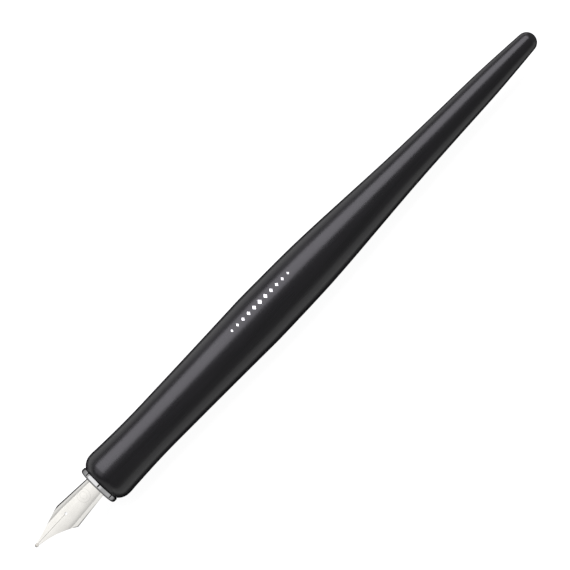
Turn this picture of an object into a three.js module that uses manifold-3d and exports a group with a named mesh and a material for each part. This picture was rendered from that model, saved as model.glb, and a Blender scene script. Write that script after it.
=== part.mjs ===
// Dip pen: a turned holder with a friction-fit metal nib and ink feed.
//
// Frame: millimetres, +X from the writing point to the tail, +Z up, nib's top face up.
// The pen lies with its axis level. The origin is under the middle of its length, on the
// plane that the widest part of the holder rests on.
// Inside the file, "along" is a distance from the writing point, measured along the axis.

import * as THREE from "three";
import { mergeVertices } from "three/addons/utils/BufferGeometryUtils.js";
import Module from "manifold-3d";

const wasm = await Module();
wasm.setup();

// ---------------------------------------------------------------- driving dimensions

const OVERALL_LENGTH = 163;
const SIDES = 36; // facets round a turned piece
const CUTTER_REACH = 4; // cutters end this far from the axis, outside every piece that they cut
const RUNNING_GAP = 0.05; // between the nib, the feed and the socket
const SEAT_GAP = 0.05; // between pieces that are fixed together

const HOLDER = {
  front: 20.8,
  frontRadius: 4.95,
  shoulder: 23.6,
  shoulderRadius: 6.27,
  bellyFrom: 71.8,
  bellyTo: 74.8,
  bellyRadius: 6.54,
  tailRadius: 2.4,
  drillConeLength: 2.2,
  frontSteps: 5,
  domeSteps: 6,
  gripSteps: 14,
  taperSteps: 20,
};
// Turned stations of the holder: waist, swell towards the belly, and the long taper behind it.
const GRIP_STATIONS = [
  { along: 34.8, radius: 5.91 },
  { along: 46.3, radius: 6.03 },
  { along: 60.0, radius: 6.28 },
];
const TAPER_STATIONS = [
  { along: 87.4, radius: 6.34 },
  { along: 96.5, radius: 5.93 },
  { along: 105.7, radius: 5.34 },
  { along: 119.4, radius: 4.47 },
  { along: 133.1, radius: 3.86 },
  { along: 146.8, radius: 3.33 },
  { along: 155.9, radius: 2.76 },
];

const RING = {
  front: 19.35,
  back: 20.7,
  radius: 5.15,
  frontLipRadius: 0.6,
  rearLipRadius: 0.3,
  lipSteps: 5,
  notchCount: 8,
  notchWidth: 0.36,
  notchLength: 0.9,
  firstNotchAngle: THREE.MathUtils.degToRad(18.5), // from the top, towards -Y
};

const SOCKET = {
  front: 19.5,
  back: 34.4,
  radius: 4.0,
  boreRadius: 3.05,
  stopAt: 32.6,
  stopRadius: 2.2,
};

const NIB = {
  pelletRadius: 0.46,
  tineStart: 0.88,
  tipHalfWidth: 0.38,
  middleHalfWidth: 1.335, // steers the curve of the tines' outer edges
  shoulder: 10.0,
  length: 29.0,
  thickness: 0.28,
  baseRadius: SOCKET.boreRadius - RUNNING_GAP,
  shoulderRadius: 3.9,
  shoulderHalfAngle: THREE.MathUtils.degToRad(66.4),
  baseHalfAngle: THREE.MathUtils.degToRad(68),
  tipDrop: 0.78, // how far the point bends down from the straight top line
  tipDropPower: 1.2, // 1 is a straight slope, more is a curve that steepens to the point
  holeAt: 10.4,
  holeRadius: 0.33,
  slitWidth: 0.12,
  stepsAlong: 28,
  stepsAcross: 14,
};

const FEED = {
  tip: 6.6,
  back: 32.4,
  exposedHalfWidth: 2.2,
  noseRadius: 2.62,
  tipThickness: 0.45,
  noseLength: 7.5,
  noseCurve: { leadIn: 0.45, leadInDrop: 0.6, leadOut: 0.6, end: 1.25 }, // in nose lengths, but the drop
  keelDepth: 2.45,
  seatStep: 0.08, // the step beside the nib, past the nib's edge, in radians
  nibRoomHeight: 1,
  nibRoomWidening: 0.2, // room beside the nib's edges, in radians
  channelWidth: 0.5,
  channelDepth: 0.7,
  finCount: 10,
  firstSlot: 10.3,
  slotPitch: 0.85,
  slotWidth: 0.4,
  slotDepth: 1.3,
  slotFrontRise: 2.4, // how much higher the foremost slot ends, where the keel has risen
  slotRiseFrom: 1.1, // where that rise begins, in nose lengths behind the tip
};

// ---------------------------------------------------------------- materials

function lacqueredWood() {
  return new THREE.MeshStandardMaterial({ color: 0x17161a, roughness: 0.35, metalness: 0 });
}

function polishedSteel() {
  return new THREE.MeshStandardMaterial({ color: 0xe4e2dc, roughness: 0.12, metalness: 1 });
}

function brightTrim() {
  return new THREE.MeshStandardMaterial({ color: 0xd9d9da, roughness: 0.1, metalness: 1 });
}

function hardAlloy() {
  return new THREE.MeshStandardMaterial({ color: 0x8f8a83, roughness: 0.3, metalness: 1 });
}

function darkPlastic() {
  return new THREE.MeshStandardMaterial({ color: 0x1c1c1e, roughness: 0.5, metalness: 0 });
}

function clearPlastic() {
  return new THREE.MeshStandardMaterial({
    color: 0xeef1f2,
    roughness: 0.12,
    metalness: 0,
    transparent: true,
    opacity: 0.35,
  });
}

// ---------------------------------------------------------------- geometry helpers

/** Turns a closed outline of (radius, along) points about the pen's axis. */
function turned(outline) {
  const halfFacet = Math.PI / SIDES; // puts a flat facet, not an edge, at the very bottom
  const geometry = new THREE.LatheGeometry(outline, SIDES, halfFacet, 2 * Math.PI);
  geometry.rotateZ(-Math.PI / 2);
  return geometry;
}

/** Makes a manifold solid of a closed geometry. */
function solidOf(geometry) {
  const bare = geometry.clone();
  bare.deleteAttribute("normal");
  bare.deleteAttribute("uv");
  const merged = mergeVertices(bare, 1e-4);
  const vertProperties = merged.getAttribute("position").array;
  const triVerts = new Uint32Array(merged.index.array);
  return new wasm.Manifold(new wasm.Mesh({ numProp: 3, vertProperties, triVerts }));
}

/** Makes a geometry of a manifold solid. */
function geometryOf(solid) {
  const mesh = solid.getMesh();
  const geometry = new THREE.BufferGeometry();
  geometry.setAttribute("position", new THREE.BufferAttribute(mesh.vertProperties, 3));
  geometry.setIndex(new THREE.BufferAttribute(mesh.triVerts, 1));
  geometry.computeVertexNormals();
  return geometry;
}

/** A block between two corners, as a solid. */
function block(low, high) {
  const size = new THREE.Vector3().subVectors(high, low);
  const middle = new THREE.Vector3().addVectors(low, high).multiplyScalar(0.5);
  const geometry = new THREE.BoxGeometry(size.x, size.y, size.z);
  geometry.translate(middle.x, middle.y, middle.z);
  return solidOf(geometry);
}

/** A mesh that carries its node's name. */
function namedMesh(name, geometry, material) {
  const mesh = new THREE.Mesh(geometry, material);
  mesh.name = name;
  return mesh;
}

/** A turned station as the lathe wants it: radius first, then the place along the axis. */
function station(along, radius) {
  return new THREE.Vector2(radius, along);
}

// ---------------------------------------------------------------- holder

/** The round of the holder's front edge, from the front face up to the shoulder. */
function frontRound() {
  const run = HOLDER.shoulder - HOLDER.front;
  const rise = HOLDER.shoulderRadius - HOLDER.frontRadius;
  const arcRadius = (run * run + rise * rise) / (2 * rise);
  const centre = HOLDER.shoulderRadius - arcRadius;
  const sweep = Math.asin(run / arcRadius);
  const steps = HOLDER.frontSteps;
  return Array.from({ length: steps + 1 }, (_, i) => {
    const angle = sweep * (1 - i / steps);
    return station(HOLDER.shoulder - arcRadius * Math.sin(angle), centre + arcRadius * Math.cos(angle));
  });
}

/** The dome that ends the tail. */
function tailDome() {
  const steps = HOLDER.domeSteps;
  const centre = OVERALL_LENGTH - HOLDER.tailRadius;
  return Array.from({ length: steps + 1 }, (_, i) => {
    const angle = (Math.PI / 2) * (i / steps);
    const radius = i === steps ? 0 : HOLDER.tailRadius * Math.cos(angle);
    return station(centre + HOLDER.tailRadius * Math.sin(angle), radius);
  });
}

/** A smooth turned stretch through a list of stations. */
function sweptStretch(points, divisions) {
  return new THREE.SplineCurve(points).getPoints(divisions);
}

/** The turned holder with its blind bore. */
function makeHolder() {
  const boreRadius = SOCKET.radius + SEAT_GAP;
  const boreFloor = SOCKET.back + SEAT_GAP;
  const bore = [
    station(boreFloor + HOLDER.drillConeLength, 0),
    station(boreFloor, boreRadius),
    station(HOLDER.front, boreRadius),
  ];
  const dome = tailDome();
  const grip = sweptStretch(
    [
      station(HOLDER.shoulder, HOLDER.shoulderRadius),
      ...GRIP_STATIONS.map((s) => station(s.along, s.radius)),
      station(HOLDER.bellyFrom, HOLDER.bellyRadius),
    ],
    HOLDER.gripSteps,
  );
  const taper = sweptStretch(
    [
      station(HOLDER.bellyTo, HOLDER.bellyRadius),
      ...TAPER_STATIONS.map((s) => station(s.along, s.radius)),
      dome[0],
    ],
    HOLDER.taperSteps,
  );
  const outline = [...bore, ...frontRound(), ...grip.slice(1), ...taper, ...dome.slice(1)];
  return namedMesh("holder", turned(outline), lacqueredWood());
}

// ---------------------------------------------------------------- front ring and socket

/** A quarter round of the ring's outer edge, between two angles from the axis direction. */
function lipArc(centreAlong, lipRadius, fromAngle, toAngle) {
  const steps = RING.lipSteps;
  const centreRadius = RING.radius - lipRadius;
  return Array.from({ length: steps + 1 }, (_, i) => {
    const angle = THREE.MathUtils.lerp(fromAngle, toAngle, i / steps);
    const along = centreAlong - lipRadius * Math.cos(angle);
    return station(along, centreRadius + lipRadius * Math.sin(angle));
  });
}

/** One notch to cut through the ring's wall from its rear edge, at an angle from the top. */
function ringNotch(angle) {
  const overshoot = RING.notchLength / 2;
  const bottom = SOCKET.radius - SEAT_GAP;
  const top = RING.radius + SEAT_GAP;
  const notch = new THREE.BoxGeometry(RING.notchLength + overshoot, RING.notchWidth, top - bottom);
  notch.translate(RING.back + (overshoot - RING.notchLength) / 2, 0, (top + bottom) / 2);
  notch.rotateX(angle);
  return solidOf(notch);
}

/** The bright ring, with narrow notches evenly round its rear edge. */
function makeFrontRing() {
  const innerRadius = SOCKET.radius + SEAT_GAP;
  const outline = [
    station(RING.back, innerRadius),
    station(RING.front, innerRadius),
    ...lipArc(RING.front + RING.frontLipRadius, RING.frontLipRadius, 0, Math.PI / 2),
    ...lipArc(RING.back - RING.rearLipRadius, RING.rearLipRadius, Math.PI / 2, Math.PI),
    station(RING.back, innerRadius),
  ];
  let ring = solidOf(turned(outline));
  for (let i = 0; i < RING.notchCount; i += 1) {
    ring = ring.subtract(ringNotch(RING.firstNotchAngle + (i * 2 * Math.PI) / RING.notchCount));
  }
  return namedMesh("front_ring", geometryOf(ring), brightTrim());
}

/** The sleeve that grips feed and nib, with a stop ring at its rear end. */
function makeNibSocket() {
  const outline = [
    station(SOCKET.back, SOCKET.stopRadius),
    station(SOCKET.stopAt, SOCKET.stopRadius),
    station(SOCKET.stopAt, SOCKET.boreRadius),
    station(SOCKET.front, SOCKET.boreRadius),
    station(SOCKET.front, SOCKET.radius),
    station(SOCKET.back, SOCKET.radius),
    station(SOCKET.back, SOCKET.stopRadius),
  ];
  return namedMesh("nib_socket", turned(outline), darkPlastic());
}

// ---------------------------------------------------------------- nib

/** How far the nib's section has opened out, from 0 at the socket to 1 at the shoulders. */
function spreadAt(along) {
  return THREE.MathUtils.clamp((SOCKET.front - along) / (SOCKET.front - NIB.shoulder), 0, 1);
}

/** Outer radius of the nib's curved section. */
function nibRadiusAt(along) {
  return THREE.MathUtils.lerp(NIB.baseRadius, NIB.shoulderRadius, spreadAt(along));
}

/** Height of the nib's top line over the pen's axis. */
function nibTopAt(along) {
  const run = NIB.holeAt - NIB.pelletRadius;
  const fromHole = Math.max(0, (NIB.holeAt - along) / run);
  return NIB.baseRadius - NIB.tipDrop * Math.pow(fromHole, NIB.tipDropPower);
}

/** Half width of the nib, from the point to the shoulders. */
function frontEdge() {
  const shoulderHalfWidth = NIB.shoulderRadius * Math.sin(NIB.shoulderHalfAngle);
  return new THREE.QuadraticBezierCurve(
    new THREE.Vector2(NIB.tineStart, NIB.tipHalfWidth),
    new THREE.Vector2((NIB.tineStart + NIB.shoulder) / 2, NIB.middleHalfWidth),
    new THREE.Vector2(NIB.shoulder, shoulderHalfWidth),
  );
}

/** Place along the nib and half angle of its section, for u from 0 at the point to 1 at the base. */
function nibStation(u) {
  if (u <= 0.5) {
    const edge = frontEdge().getPoint(2 * u);
    return { along: edge.x, halfAngle: Math.asin(edge.y / nibRadiusAt(edge.x)) };
  }
  const along = THREE.MathUtils.lerp(NIB.shoulder, NIB.length, 2 * u - 1);
  const halfAngle = THREE.MathUtils.lerp(NIB.baseHalfAngle, NIB.shoulderHalfAngle, spreadAt(along));
  return { along, halfAngle };
}

/**
 * Bends a unit block into the form of the nib: x runs along it, y across it, z through it.
 * It reaches from inset below the nib's outer surface to outset above it, and may be widened.
 */
function formedSheet(inset, outset, widening) {
  const geometry = new THREE.BoxGeometry(1, 1, 1, NIB.stepsAlong, NIB.stepsAcross, 1);
  const position = geometry.getAttribute("position");
  for (let i = 0; i < position.count; i += 1) {
    const { along, halfAngle } = nibStation(position.getX(i) + 0.5);
    const outerRadius = nibRadiusAt(along);
    const radius = outerRadius + THREE.MathUtils.lerp(-inset, outset, position.getZ(i) + 0.5);
    const angle = 2 * position.getY(i) * (halfAngle + widening);
    const centreHeight = nibTopAt(along) - outerRadius;
    position.setXYZ(i, along, radius * Math.sin(angle), centreHeight + radius * Math.cos(angle));
  }
  return geometry;
}

/** The nib: the formed sheet with its breather hole and slit. */
function makeNib() {
  const hole = new THREE.CylinderGeometry(NIB.holeRadius, NIB.holeRadius, CUTTER_REACH, 24);
  hole.rotateX(Math.PI / 2);
  hole.translate(NIB.holeAt, 0, NIB.baseRadius);
  const slit = block(
    new THREE.Vector3(0, -NIB.slitWidth / 2, 0),
    new THREE.Vector3(NIB.holeAt, NIB.slitWidth / 2, CUTTER_REACH),
  );
  const cut = solidOf(formedSheet(NIB.thickness, 0, 0)).subtract(solidOf(hole)).subtract(slit);
  return namedMesh("nib", geometryOf(cut), polishedSteel());
}

/** Half of the hard ball at the point, on the +Y side or the -Y side of the slit. */
function makeTipping(name, side) {
  const ball = new THREE.SphereGeometry(NIB.pelletRadius, 16, 10);
  ball.translate(NIB.pelletRadius, 0, nibTopAt(NIB.pelletRadius) - NIB.thickness / 2);
  const nearSide = side * (NIB.slitWidth / 2);
  const farSide = side * CUTTER_REACH;
  const half = block(
    new THREE.Vector3(-CUTTER_REACH, Math.min(nearSide, farSide), 0),
    new THREE.Vector3(NIB.tineStart - SEAT_GAP, Math.max(nearSide, farSide), CUTTER_REACH),
  );
  return namedMesh(name, geometryOf(solidOf(ball).intersect(half)), hardAlloy());
}

// ---------------------------------------------------------------- ink feed

/** Radius of the feed where the nib lies on it. */
function feedSeatRadius() {
  return NIB.baseRadius - NIB.thickness - RUNNING_GAP;
}

/** Section of the feed inside the socket: full round below, stepped down under the nib. */
function feedStubSection() {
  const fullRadius = SOCKET.boreRadius - RUNNING_GAP;
  const stepAngle = NIB.baseHalfAngle + FEED.seatStep;
  const seatStart = Math.PI / 2 - stepAngle;
  const seatEnd = Math.PI / 2 + stepAngle;
  const section = new THREE.Shape();
  section.absarc(0, 0, feedSeatRadius(), seatStart, seatEnd, false);
  section.absarc(0, 0, fullRadius, seatEnd, seatStart + 2 * Math.PI, false);
  return section;
}

/** Turns an extrusion's own axes so that x runs across the pen (+Y), y up and depth along it. */
function acrossThePen(geometry) {
  const basis = new THREE.Matrix4().makeBasis(
    new THREE.Vector3(0, 1, 0),
    new THREE.Vector3(0, 0, 1),
    new THREE.Vector3(1, 0, 0),
  );
  return geometry.applyMatrix4(basis);
}

/** The round rear of the feed, which the socket grips. */
function feedStub() {
  const depth = FEED.back - SOCKET.front;
  const geometry = new THREE.ExtrudeGeometry(feedStubSection(), {
    depth,
    bevelEnabled: false,
    curveSegments: 24,
  });
  return solidOf(acrossThePen(geometry).translate(SOCKET.front, 0, 0));
}

/** Side view of the exposed feed: a keel that rises to the point under the tines. */
function feedNoseProfile() {
  const noseEnd = SOCKET.front + 1; // runs a little way into the stub
  const curve = FEED.noseCurve;
  const tipUnderside = nibTopAt(FEED.tip) - NIB.thickness - RUNNING_GAP - FEED.tipThickness;
  const profile = new THREE.Shape();
  profile.moveTo(noseEnd, FEED.noseRadius);
  profile.lineTo(FEED.tip, FEED.noseRadius);
  profile.lineTo(FEED.tip, tipUnderside);
  profile.bezierCurveTo(
    FEED.tip + curve.leadIn * FEED.noseLength,
    tipUnderside - curve.leadInDrop,
    FEED.tip + curve.leadOut * FEED.noseLength,
    -FEED.keelDepth,
    FEED.tip + curve.end * FEED.noseLength,
    -FEED.keelDepth,
  );
  profile.lineTo(noseEnd, -FEED.keelDepth);
  profile.closePath();
  return profile;
}

/** The exposed feed: the keel, rounded across and hollowed to the form of the nib's underside. */
function feedNose() {
  const geometry = new THREE.ExtrudeGeometry(feedNoseProfile(), {
    depth: 2 * FEED.exposedHalfWidth,
    bevelEnabled: false,
    curveSegments: 16,
  });
  geometry.rotateX(Math.PI / 2);
  geometry.translate(0, FEED.exposedHalfWidth, 0);
  const round = new THREE.CylinderGeometry(
    FEED.noseRadius,
    FEED.noseRadius,
    2 * SOCKET.front,
    SIDES,
  );
  round.rotateZ(Math.PI / 2);
  round.translate(SOCKET.front, 0, 0);
  const nibRoom = formedSheet(
    NIB.thickness + RUNNING_GAP,
    FEED.nibRoomHeight,
    FEED.nibRoomWidening,
  );
  return solidOf(geometry).intersect(solidOf(round)).subtract(solidOf(nibRoom));
}

/** The cutter of one slot between two fins. It reaches higher where the keel has risen. */
function finSlot(index) {
  const along = FEED.firstSlot + index * FEED.slotPitch;
  const halfWidth = FEED.slotWidth / 2;
  const riseEnd = FEED.tip + FEED.slotRiseFrom * FEED.noseLength;
  const rise = THREE.MathUtils.clamp((riseEnd - along) / FEED.noseLength, 0, 1);
  const ceiling = -FEED.keelDepth + FEED.slotDepth + FEED.slotFrontRise * rise;
  return block(
    new THREE.Vector3(along - halfWidth, -CUTTER_REACH, -CUTTER_REACH),
    new THREE.Vector3(along + halfWidth, CUTTER_REACH, ceiling),
  );
}

/** The whole feed: stub and nose, with the ink channel and the slots between the fins. */
function makeFeed() {
  let feed = feedStub().add(feedNose());
  const channelFloor = feedSeatRadius() - FEED.channelDepth;
  const channel = block(
    new THREE.Vector3(0, -FEED.channelWidth / 2, channelFloor),
    new THREE.Vector3(OVERALL_LENGTH, FEED.channelWidth / 2, CUTTER_REACH),
  );
  feed = feed.subtract(channel);
  for (let i = 0; i < FEED.finCount; i += 1) {
    feed = feed.subtract(finSlot(i));
  }
  return namedMesh("feed", geometryOf(feed), clearPlastic());
}

// ---------------------------------------------------------------- assembly

const writingUnit = new THREE.Group();
writingUnit.add(
  makeFeed(),
  makeNib(),
  makeTipping("tipping_left", 1),
  makeTipping("tipping_right", -1),
);

const pen = new THREE.Group();
pen.add(makeHolder(), makeFrontRing(), makeNibSocket(), writingUnit);
const restHeight = HOLDER.bellyRadius * Math.cos(Math.PI / SIDES);
pen.position.set(-OVERALL_LENGTH / 2, 0, restHeight);

const group = new THREE.Group();
group.add(pen);

export default group;
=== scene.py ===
"""Looks of a dip pen, built round its packed mechanical model.

Everything is in metres, in the model's own frame: +X runs along the pen from the writing point to the
tail, +Z is up with the nib's top face up, and the pen's axis is level. Inside the classes a place "along"
the pen is its X, and a turned piece is described by its outline: (along, radius) pairs.
"""

import logging
import math
from collections.abc import Callable, Iterable, Sequence
from dataclasses import dataclass
from enum import Enum

import bmesh
import bpy
import numpy as np
from mathutils import Matrix, Vector


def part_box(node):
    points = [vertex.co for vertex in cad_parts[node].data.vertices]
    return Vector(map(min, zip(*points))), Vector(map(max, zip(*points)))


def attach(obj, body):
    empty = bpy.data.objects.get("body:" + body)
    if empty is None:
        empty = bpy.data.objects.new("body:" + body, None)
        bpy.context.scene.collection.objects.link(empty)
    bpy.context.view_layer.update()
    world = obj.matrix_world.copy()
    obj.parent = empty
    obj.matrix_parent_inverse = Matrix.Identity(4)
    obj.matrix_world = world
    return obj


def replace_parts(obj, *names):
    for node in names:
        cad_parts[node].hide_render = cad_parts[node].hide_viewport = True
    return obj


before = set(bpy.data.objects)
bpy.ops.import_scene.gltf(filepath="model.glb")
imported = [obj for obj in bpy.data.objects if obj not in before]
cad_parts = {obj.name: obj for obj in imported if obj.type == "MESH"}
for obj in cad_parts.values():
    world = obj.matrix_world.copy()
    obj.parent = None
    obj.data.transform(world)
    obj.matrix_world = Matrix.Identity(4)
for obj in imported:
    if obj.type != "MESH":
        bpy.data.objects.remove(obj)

LOG = logging.getLogger("dip_pen")
MM = 0.001

# How squarely a facet has to face away from the axis to count as outer surface.
OUTWARD = 0.02
# Stations closer together than a ten-thousandth of a millimetre are one.
STATIONS_PER_METRE = 1e7
# Radius under which an outline has reached the axis.
ON_AXIS = 1e-6
# Length of the sharp step where the feed's nose meets its round stub.
STEP = 1e-6

# Distance under which two vertices are one, in metres.
DOUBLES = 1e-8
# The same for the nib's sheet and the feed's comb, which are joined from more parts.
COARSE_DOUBLES = 1e-7
# The same on a diamond's unit tile.
TILE_DOUBLES = 1e-4
# Points along a side of a diamond's tile.
TILE_POINTS = 9
FIN_SIDES = 40
# Share of the comb, from the front, over which the fins widen.
FULL_WIDTH_FROM = 0.6

# Width of the camera's sensor, in millimetres.
FULL_FRAME_WIDTH = 36.0

# Inputs and output of a colour Mix node.
MIX_COLOUR_A = 6
MIX_COLOUR_B = 7
MIX_RESULT = 2

OutlinePoint = tuple[float, float]


# ------------------------------------------------------------------------------------------------
# Where the pieces lie
# ------------------------------------------------------------------------------------------------


@dataclass(frozen=True)
class PenLayout:
    """Main places of the pen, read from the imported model.

    Attributes:
        point: X of the writing point.
        tail: X of the tail's end.
        axis_height: Z of the pen's axis.
    """

    point: float
    tail: float
    axis_height: float

    @classmethod
    def from_frame(cls) -> "PenLayout":
        """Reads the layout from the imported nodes.

        Returns:
            The layout of the pen at rest.
        """
        holder_low, holder_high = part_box("holder")
        pellet_low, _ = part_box("tipping_left")
        middle = 0.5 * (holder_low.z + holder_high.z)
        return cls(point=pellet_low.x, tail=holder_high.x, axis_height=middle)

    def at(self, distance: float) -> float:
        """Turns a distance behind the writing point, in metres, into an X."""
        return self.point + distance


def outer_outline(node: str, axis_height: float) -> list[OutlinePoint]:
    """Reads the outer outline of a turned node from its facets.

    Args:
        node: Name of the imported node.
        axis_height: Z of the axis that it is turned about.

    Returns:
        The (along, radius) stations of the surface that faces away from the axis, front to back.
    """
    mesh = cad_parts[node].data
    centre = Vector((0.0, 0.0, axis_height))
    stations: dict[int, OutlinePoint] = {}
    for polygon in mesh.polygons:
        away = polygon.center - centre
        away.x = 0.0
        if polygon.normal.dot(away.normalized()) < OUTWARD:
            continue
        for index in polygon.vertices:
            corner = mesh.vertices[index].co
            radius = math.hypot(corner.y, corner.z - axis_height)
            stations[round(corner.x * STATIONS_PER_METRE)] = (corner.x, radius)
    return [stations[key] for key in sorted(stations)]


def smooth_outline(stations: Sequence[OutlinePoint], finer: int) -> list[OutlinePoint]:
    """Draws a smooth curve through turned stations, with the chord-length Catmull-Rom rule.

    Args:
        stations: The outline's points, in order.
        finer: Number of steps between two neighbouring points.

    Returns:
        The finer outline, which passes through every station.
    """
    points = np.array(stations)
    gaps = np.linalg.norm(np.diff(points, axis=0), axis=1)
    reach = np.concatenate([[0.0], np.cumsum(gaps)])
    slopes = np.gradient(points, reach, axis=0)
    slopes[-1] = (0.0, -1.0) if points[-1][1] < ON_AXIS else slopes[-1]
    result: list[OutlinePoint] = []
    for i, gap in enumerate(gaps):
        for step in range(finer):
            t = step / finer
            start_weight = 2 * t**3 - 3 * t**2 + 1
            start_slope = (t**3 - 2 * t**2 + t) * gap
            end_weight = -2 * t**3 + 3 * t**2
            end_slope = (t**3 - t**2) * gap
            place = (
                start_weight * points[i]
                + start_slope * slopes[i]
                + end_weight * points[i + 1]
                + end_slope * slopes[i + 1]
            )
            result.append((float(place[0]), max(0.0, float(place[1]))))
    result.append((float(points[-1][0]), float(points[-1][1])))
    return result


def arc(centre: OutlinePoint, radius: float, start: float, end: float, steps: int) -> list[OutlinePoint]:
    """Makes a round stretch of an outline.

    Args:
        centre: Centre of the arc, as (along, radius).
        radius: Radius of the arc.
        start: Starting angle in degrees; 180 points to the front, 90 away from the axis.
        end: End angle in degrees.
        steps: Number of chords.

    Returns:
        The arc's points, both ends included.
    """
    angles = np.radians(np.linspace(start, end, steps + 1))
    return [(centre[0] + radius * math.cos(a), centre[1] + radius * math.sin(a)) for a in angles]


# ------------------------------------------------------------------------------------------------
# Node trees
# ------------------------------------------------------------------------------------------------


class TreeBuilder:
    """Adds nodes and links to a node tree with few words."""

    def __init__(self, tree: bpy.types.NodeTree) -> None:
        """Keeps the tree that is built.

        Args:
            tree: A shader, group or geometry tree.
        """
        self.tree = tree

    def add(self, kind: str, inputs: dict | None = None, **settings: object) -> bpy.types.Node:
        """Adds one node, sets it and feeds it.

        Args:
            kind: Blender's name of the node type.
            inputs: Socket name or index to a value, or to the socket that feeds it.
            **settings: Properties of the node.

        Returns:
            The new node.
        """
        node = self.tree.nodes.new(kind)
        for name, value in settings.items():
            setattr(node, name, value)
        for key, value in (inputs or {}).items():
            socket = node.inputs[key]
            if isinstance(value, bpy.types.NodeSocket):
                self.tree.links.new(value, socket)
            else:
                socket.default_value = value
        return node

    def add_group(self, group: bpy.types.NodeTree, values: dict[str, float]) -> bpy.types.Node:
        """Adds a group node.

        Args:
            group: The shader group.
            values: Input name to value.

        Returns:
            The new node.
        """
        node = self.add("ShaderNodeGroup", node_tree=group)
        for name, value in values.items():
            node.inputs[name].default_value = value
        return node

    def link(self, value: bpy.types.NodeSocket, node: bpy.types.Node, name: str | int) -> None:
        """Links a socket to a node's named input."""
        self.tree.links.new(value, node.inputs[name])

    def finish_shape(self, shape: bpy.types.NodeSocket, material: bpy.types.NodeSocket) -> None:
        """Ends a geometry tree: makes the shape real, gives it its material and puts it out.

        Args:
            shape: The geometry's socket.
            material: The material's socket.
        """
        whole = self.add("GeometryNodeRealizeInstances", {"Geometry": shape})
        dressed = self.add("GeometryNodeSetMaterial", {"Geometry": whole.outputs[0], "Material": material})
        self.add("NodeGroupOutput", {"Geometry": dressed.outputs[0]})

    def math(self, operation: str, *values: object) -> bpy.types.NodeSocket:
        """Adds a Math node.

        Args:
            operation: Blender's name of the operation.
            *values: Numbers or sockets, in order.

        Returns:
            The result's socket.
        """
        node = self.add("ShaderNodeMath", dict(enumerate(values)), operation=operation)
        return node.outputs[0]

    def between(
        self, value: object, low: float, high: float, to_low: object, to_high: float
    ) -> bpy.types.NodeSocket:
        """Maps a value from one range to another, held inside the second range.

        Args:
            value: The number's socket.
            low: Start of the first range.
            high: End of the first range.
            to_low: Start of the second range, a number or a socket.
            to_high: End of the second range.

        Returns:
            The mapped value's socket.
        """
        node = self.add(
            "ShaderNodeMapRange",
            {"Value": value, "From Min": low, "From Max": high, "To Min": to_low, "To Max": to_high},
        )
        return node.outputs["Result"]


class Kind(Enum):
    """Kinds of a node group's sockets, with Blender's names for them."""

    NUMBER = "NodeSocketFloat"
    COUNT = "NodeSocketInt"
    SHAPE = "NodeSocketGeometry"
    MATERIAL = "NodeSocketMaterial"


def declare_sockets(tree: bpy.types.NodeTree, inputs: dict[str, object], outputs: dict[str, Kind]) -> None:
    """Gives a node group its named inputs and outputs.

    Args:
        tree: The group's tree.
        inputs: Input name to its value when nothing is linked, or to its kind where it has none.
        outputs: Output name to its kind.
    """
    for direction, sockets in (("INPUT", inputs), ("OUTPUT", outputs)):
        for name, given in sockets.items():
            if isinstance(given, Kind):
                tree.interface.new_socket(name, in_out=direction, socket_type=given.value)
                continue
            kind = Kind.COUNT if isinstance(given, int) else Kind.NUMBER
            made = tree.interface.new_socket(name, in_out=direction, socket_type=kind.value)
            made.default_value = given


def stretched_noise_group() -> bpy.types.NodeTree:
    """Makes the shader group for marks that run along the pen, such as grain and polishing lines.

    Returns:
        A group with a mask output from 0 to 1.
    """
    tree = bpy.data.node_groups.new("lengthwise_marks", "ShaderNodeTree")
    defaults = {"Across Scale": 4000.0, "Length Ratio": 0.04, "Detail": 3.0, "Low": 0.35, "High": 0.65}
    declare_sockets(tree, defaults, {"Mask": Kind.NUMBER})
    build = TreeBuilder(tree)
    given = build.add("NodeGroupInput")
    place = build.add("ShaderNodeTexCoord").outputs["Object"]
    along_scale = build.math("MULTIPLY", given.outputs["Across Scale"], given.outputs["Length Ratio"])
    scale = build.add(
        "ShaderNodeCombineXYZ",
        {0: along_scale, 1: given.outputs["Across Scale"], 2: given.outputs["Across Scale"]},
    )
    scaled = build.add("ShaderNodeVectorMath", {0: place, 1: scale.outputs[0]}, operation="MULTIPLY")
    noise = build.add(
        "ShaderNodeTexNoise",
        {"Vector": scaled.outputs[0], "Scale": 1.0, "Detail": given.outputs["Detail"]},
    )
    mask = build.add(
        "ShaderNodeMapRange",
        {
            "Value": noise.outputs["Fac"],
            "From Min": given.outputs["Low"],
            "From Max": given.outputs["High"],
        },
    )
    build.add("NodeGroupOutput", {"Mask": mask.outputs["Result"]})
    return tree


def smudge_group() -> bpy.types.NodeTree:
    """Makes the shader group for the soft smudges that handling leaves.

    Returns:
        A group with a mask output from 0 to 1.
    """
    tree = bpy.data.node_groups.new("handling_smudges", "ShaderNodeTree")
    declare_sockets(tree, {"Scale": 120.0}, {"Mask": Kind.NUMBER})
    build = TreeBuilder(tree)
    given = build.add("NodeGroupInput")
    place = build.add("ShaderNodeTexCoord").outputs["Object"]
    smudge = build.add(
        "ShaderNodeTexNoise",
        {"Vector": place, "Scale": given.outputs["Scale"], "Detail": 2.0, "Roughness": 0.6},
    )
    soft = build.between(smudge.outputs["Fac"], 0.35, 0.7, 0.0, 1.0)
    build.add("NodeGroupOutput", {"Mask": soft})
    return tree


# ------------------------------------------------------------------------------------------------
# Finishes
# ------------------------------------------------------------------------------------------------


class ShaderLibrary:
    """The shader groups that several finishes share."""

    def __init__(self) -> None:
        """Builds each shared group once."""
        self.lengthwise = stretched_noise_group()
        self.smudges = smudge_group()


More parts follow.
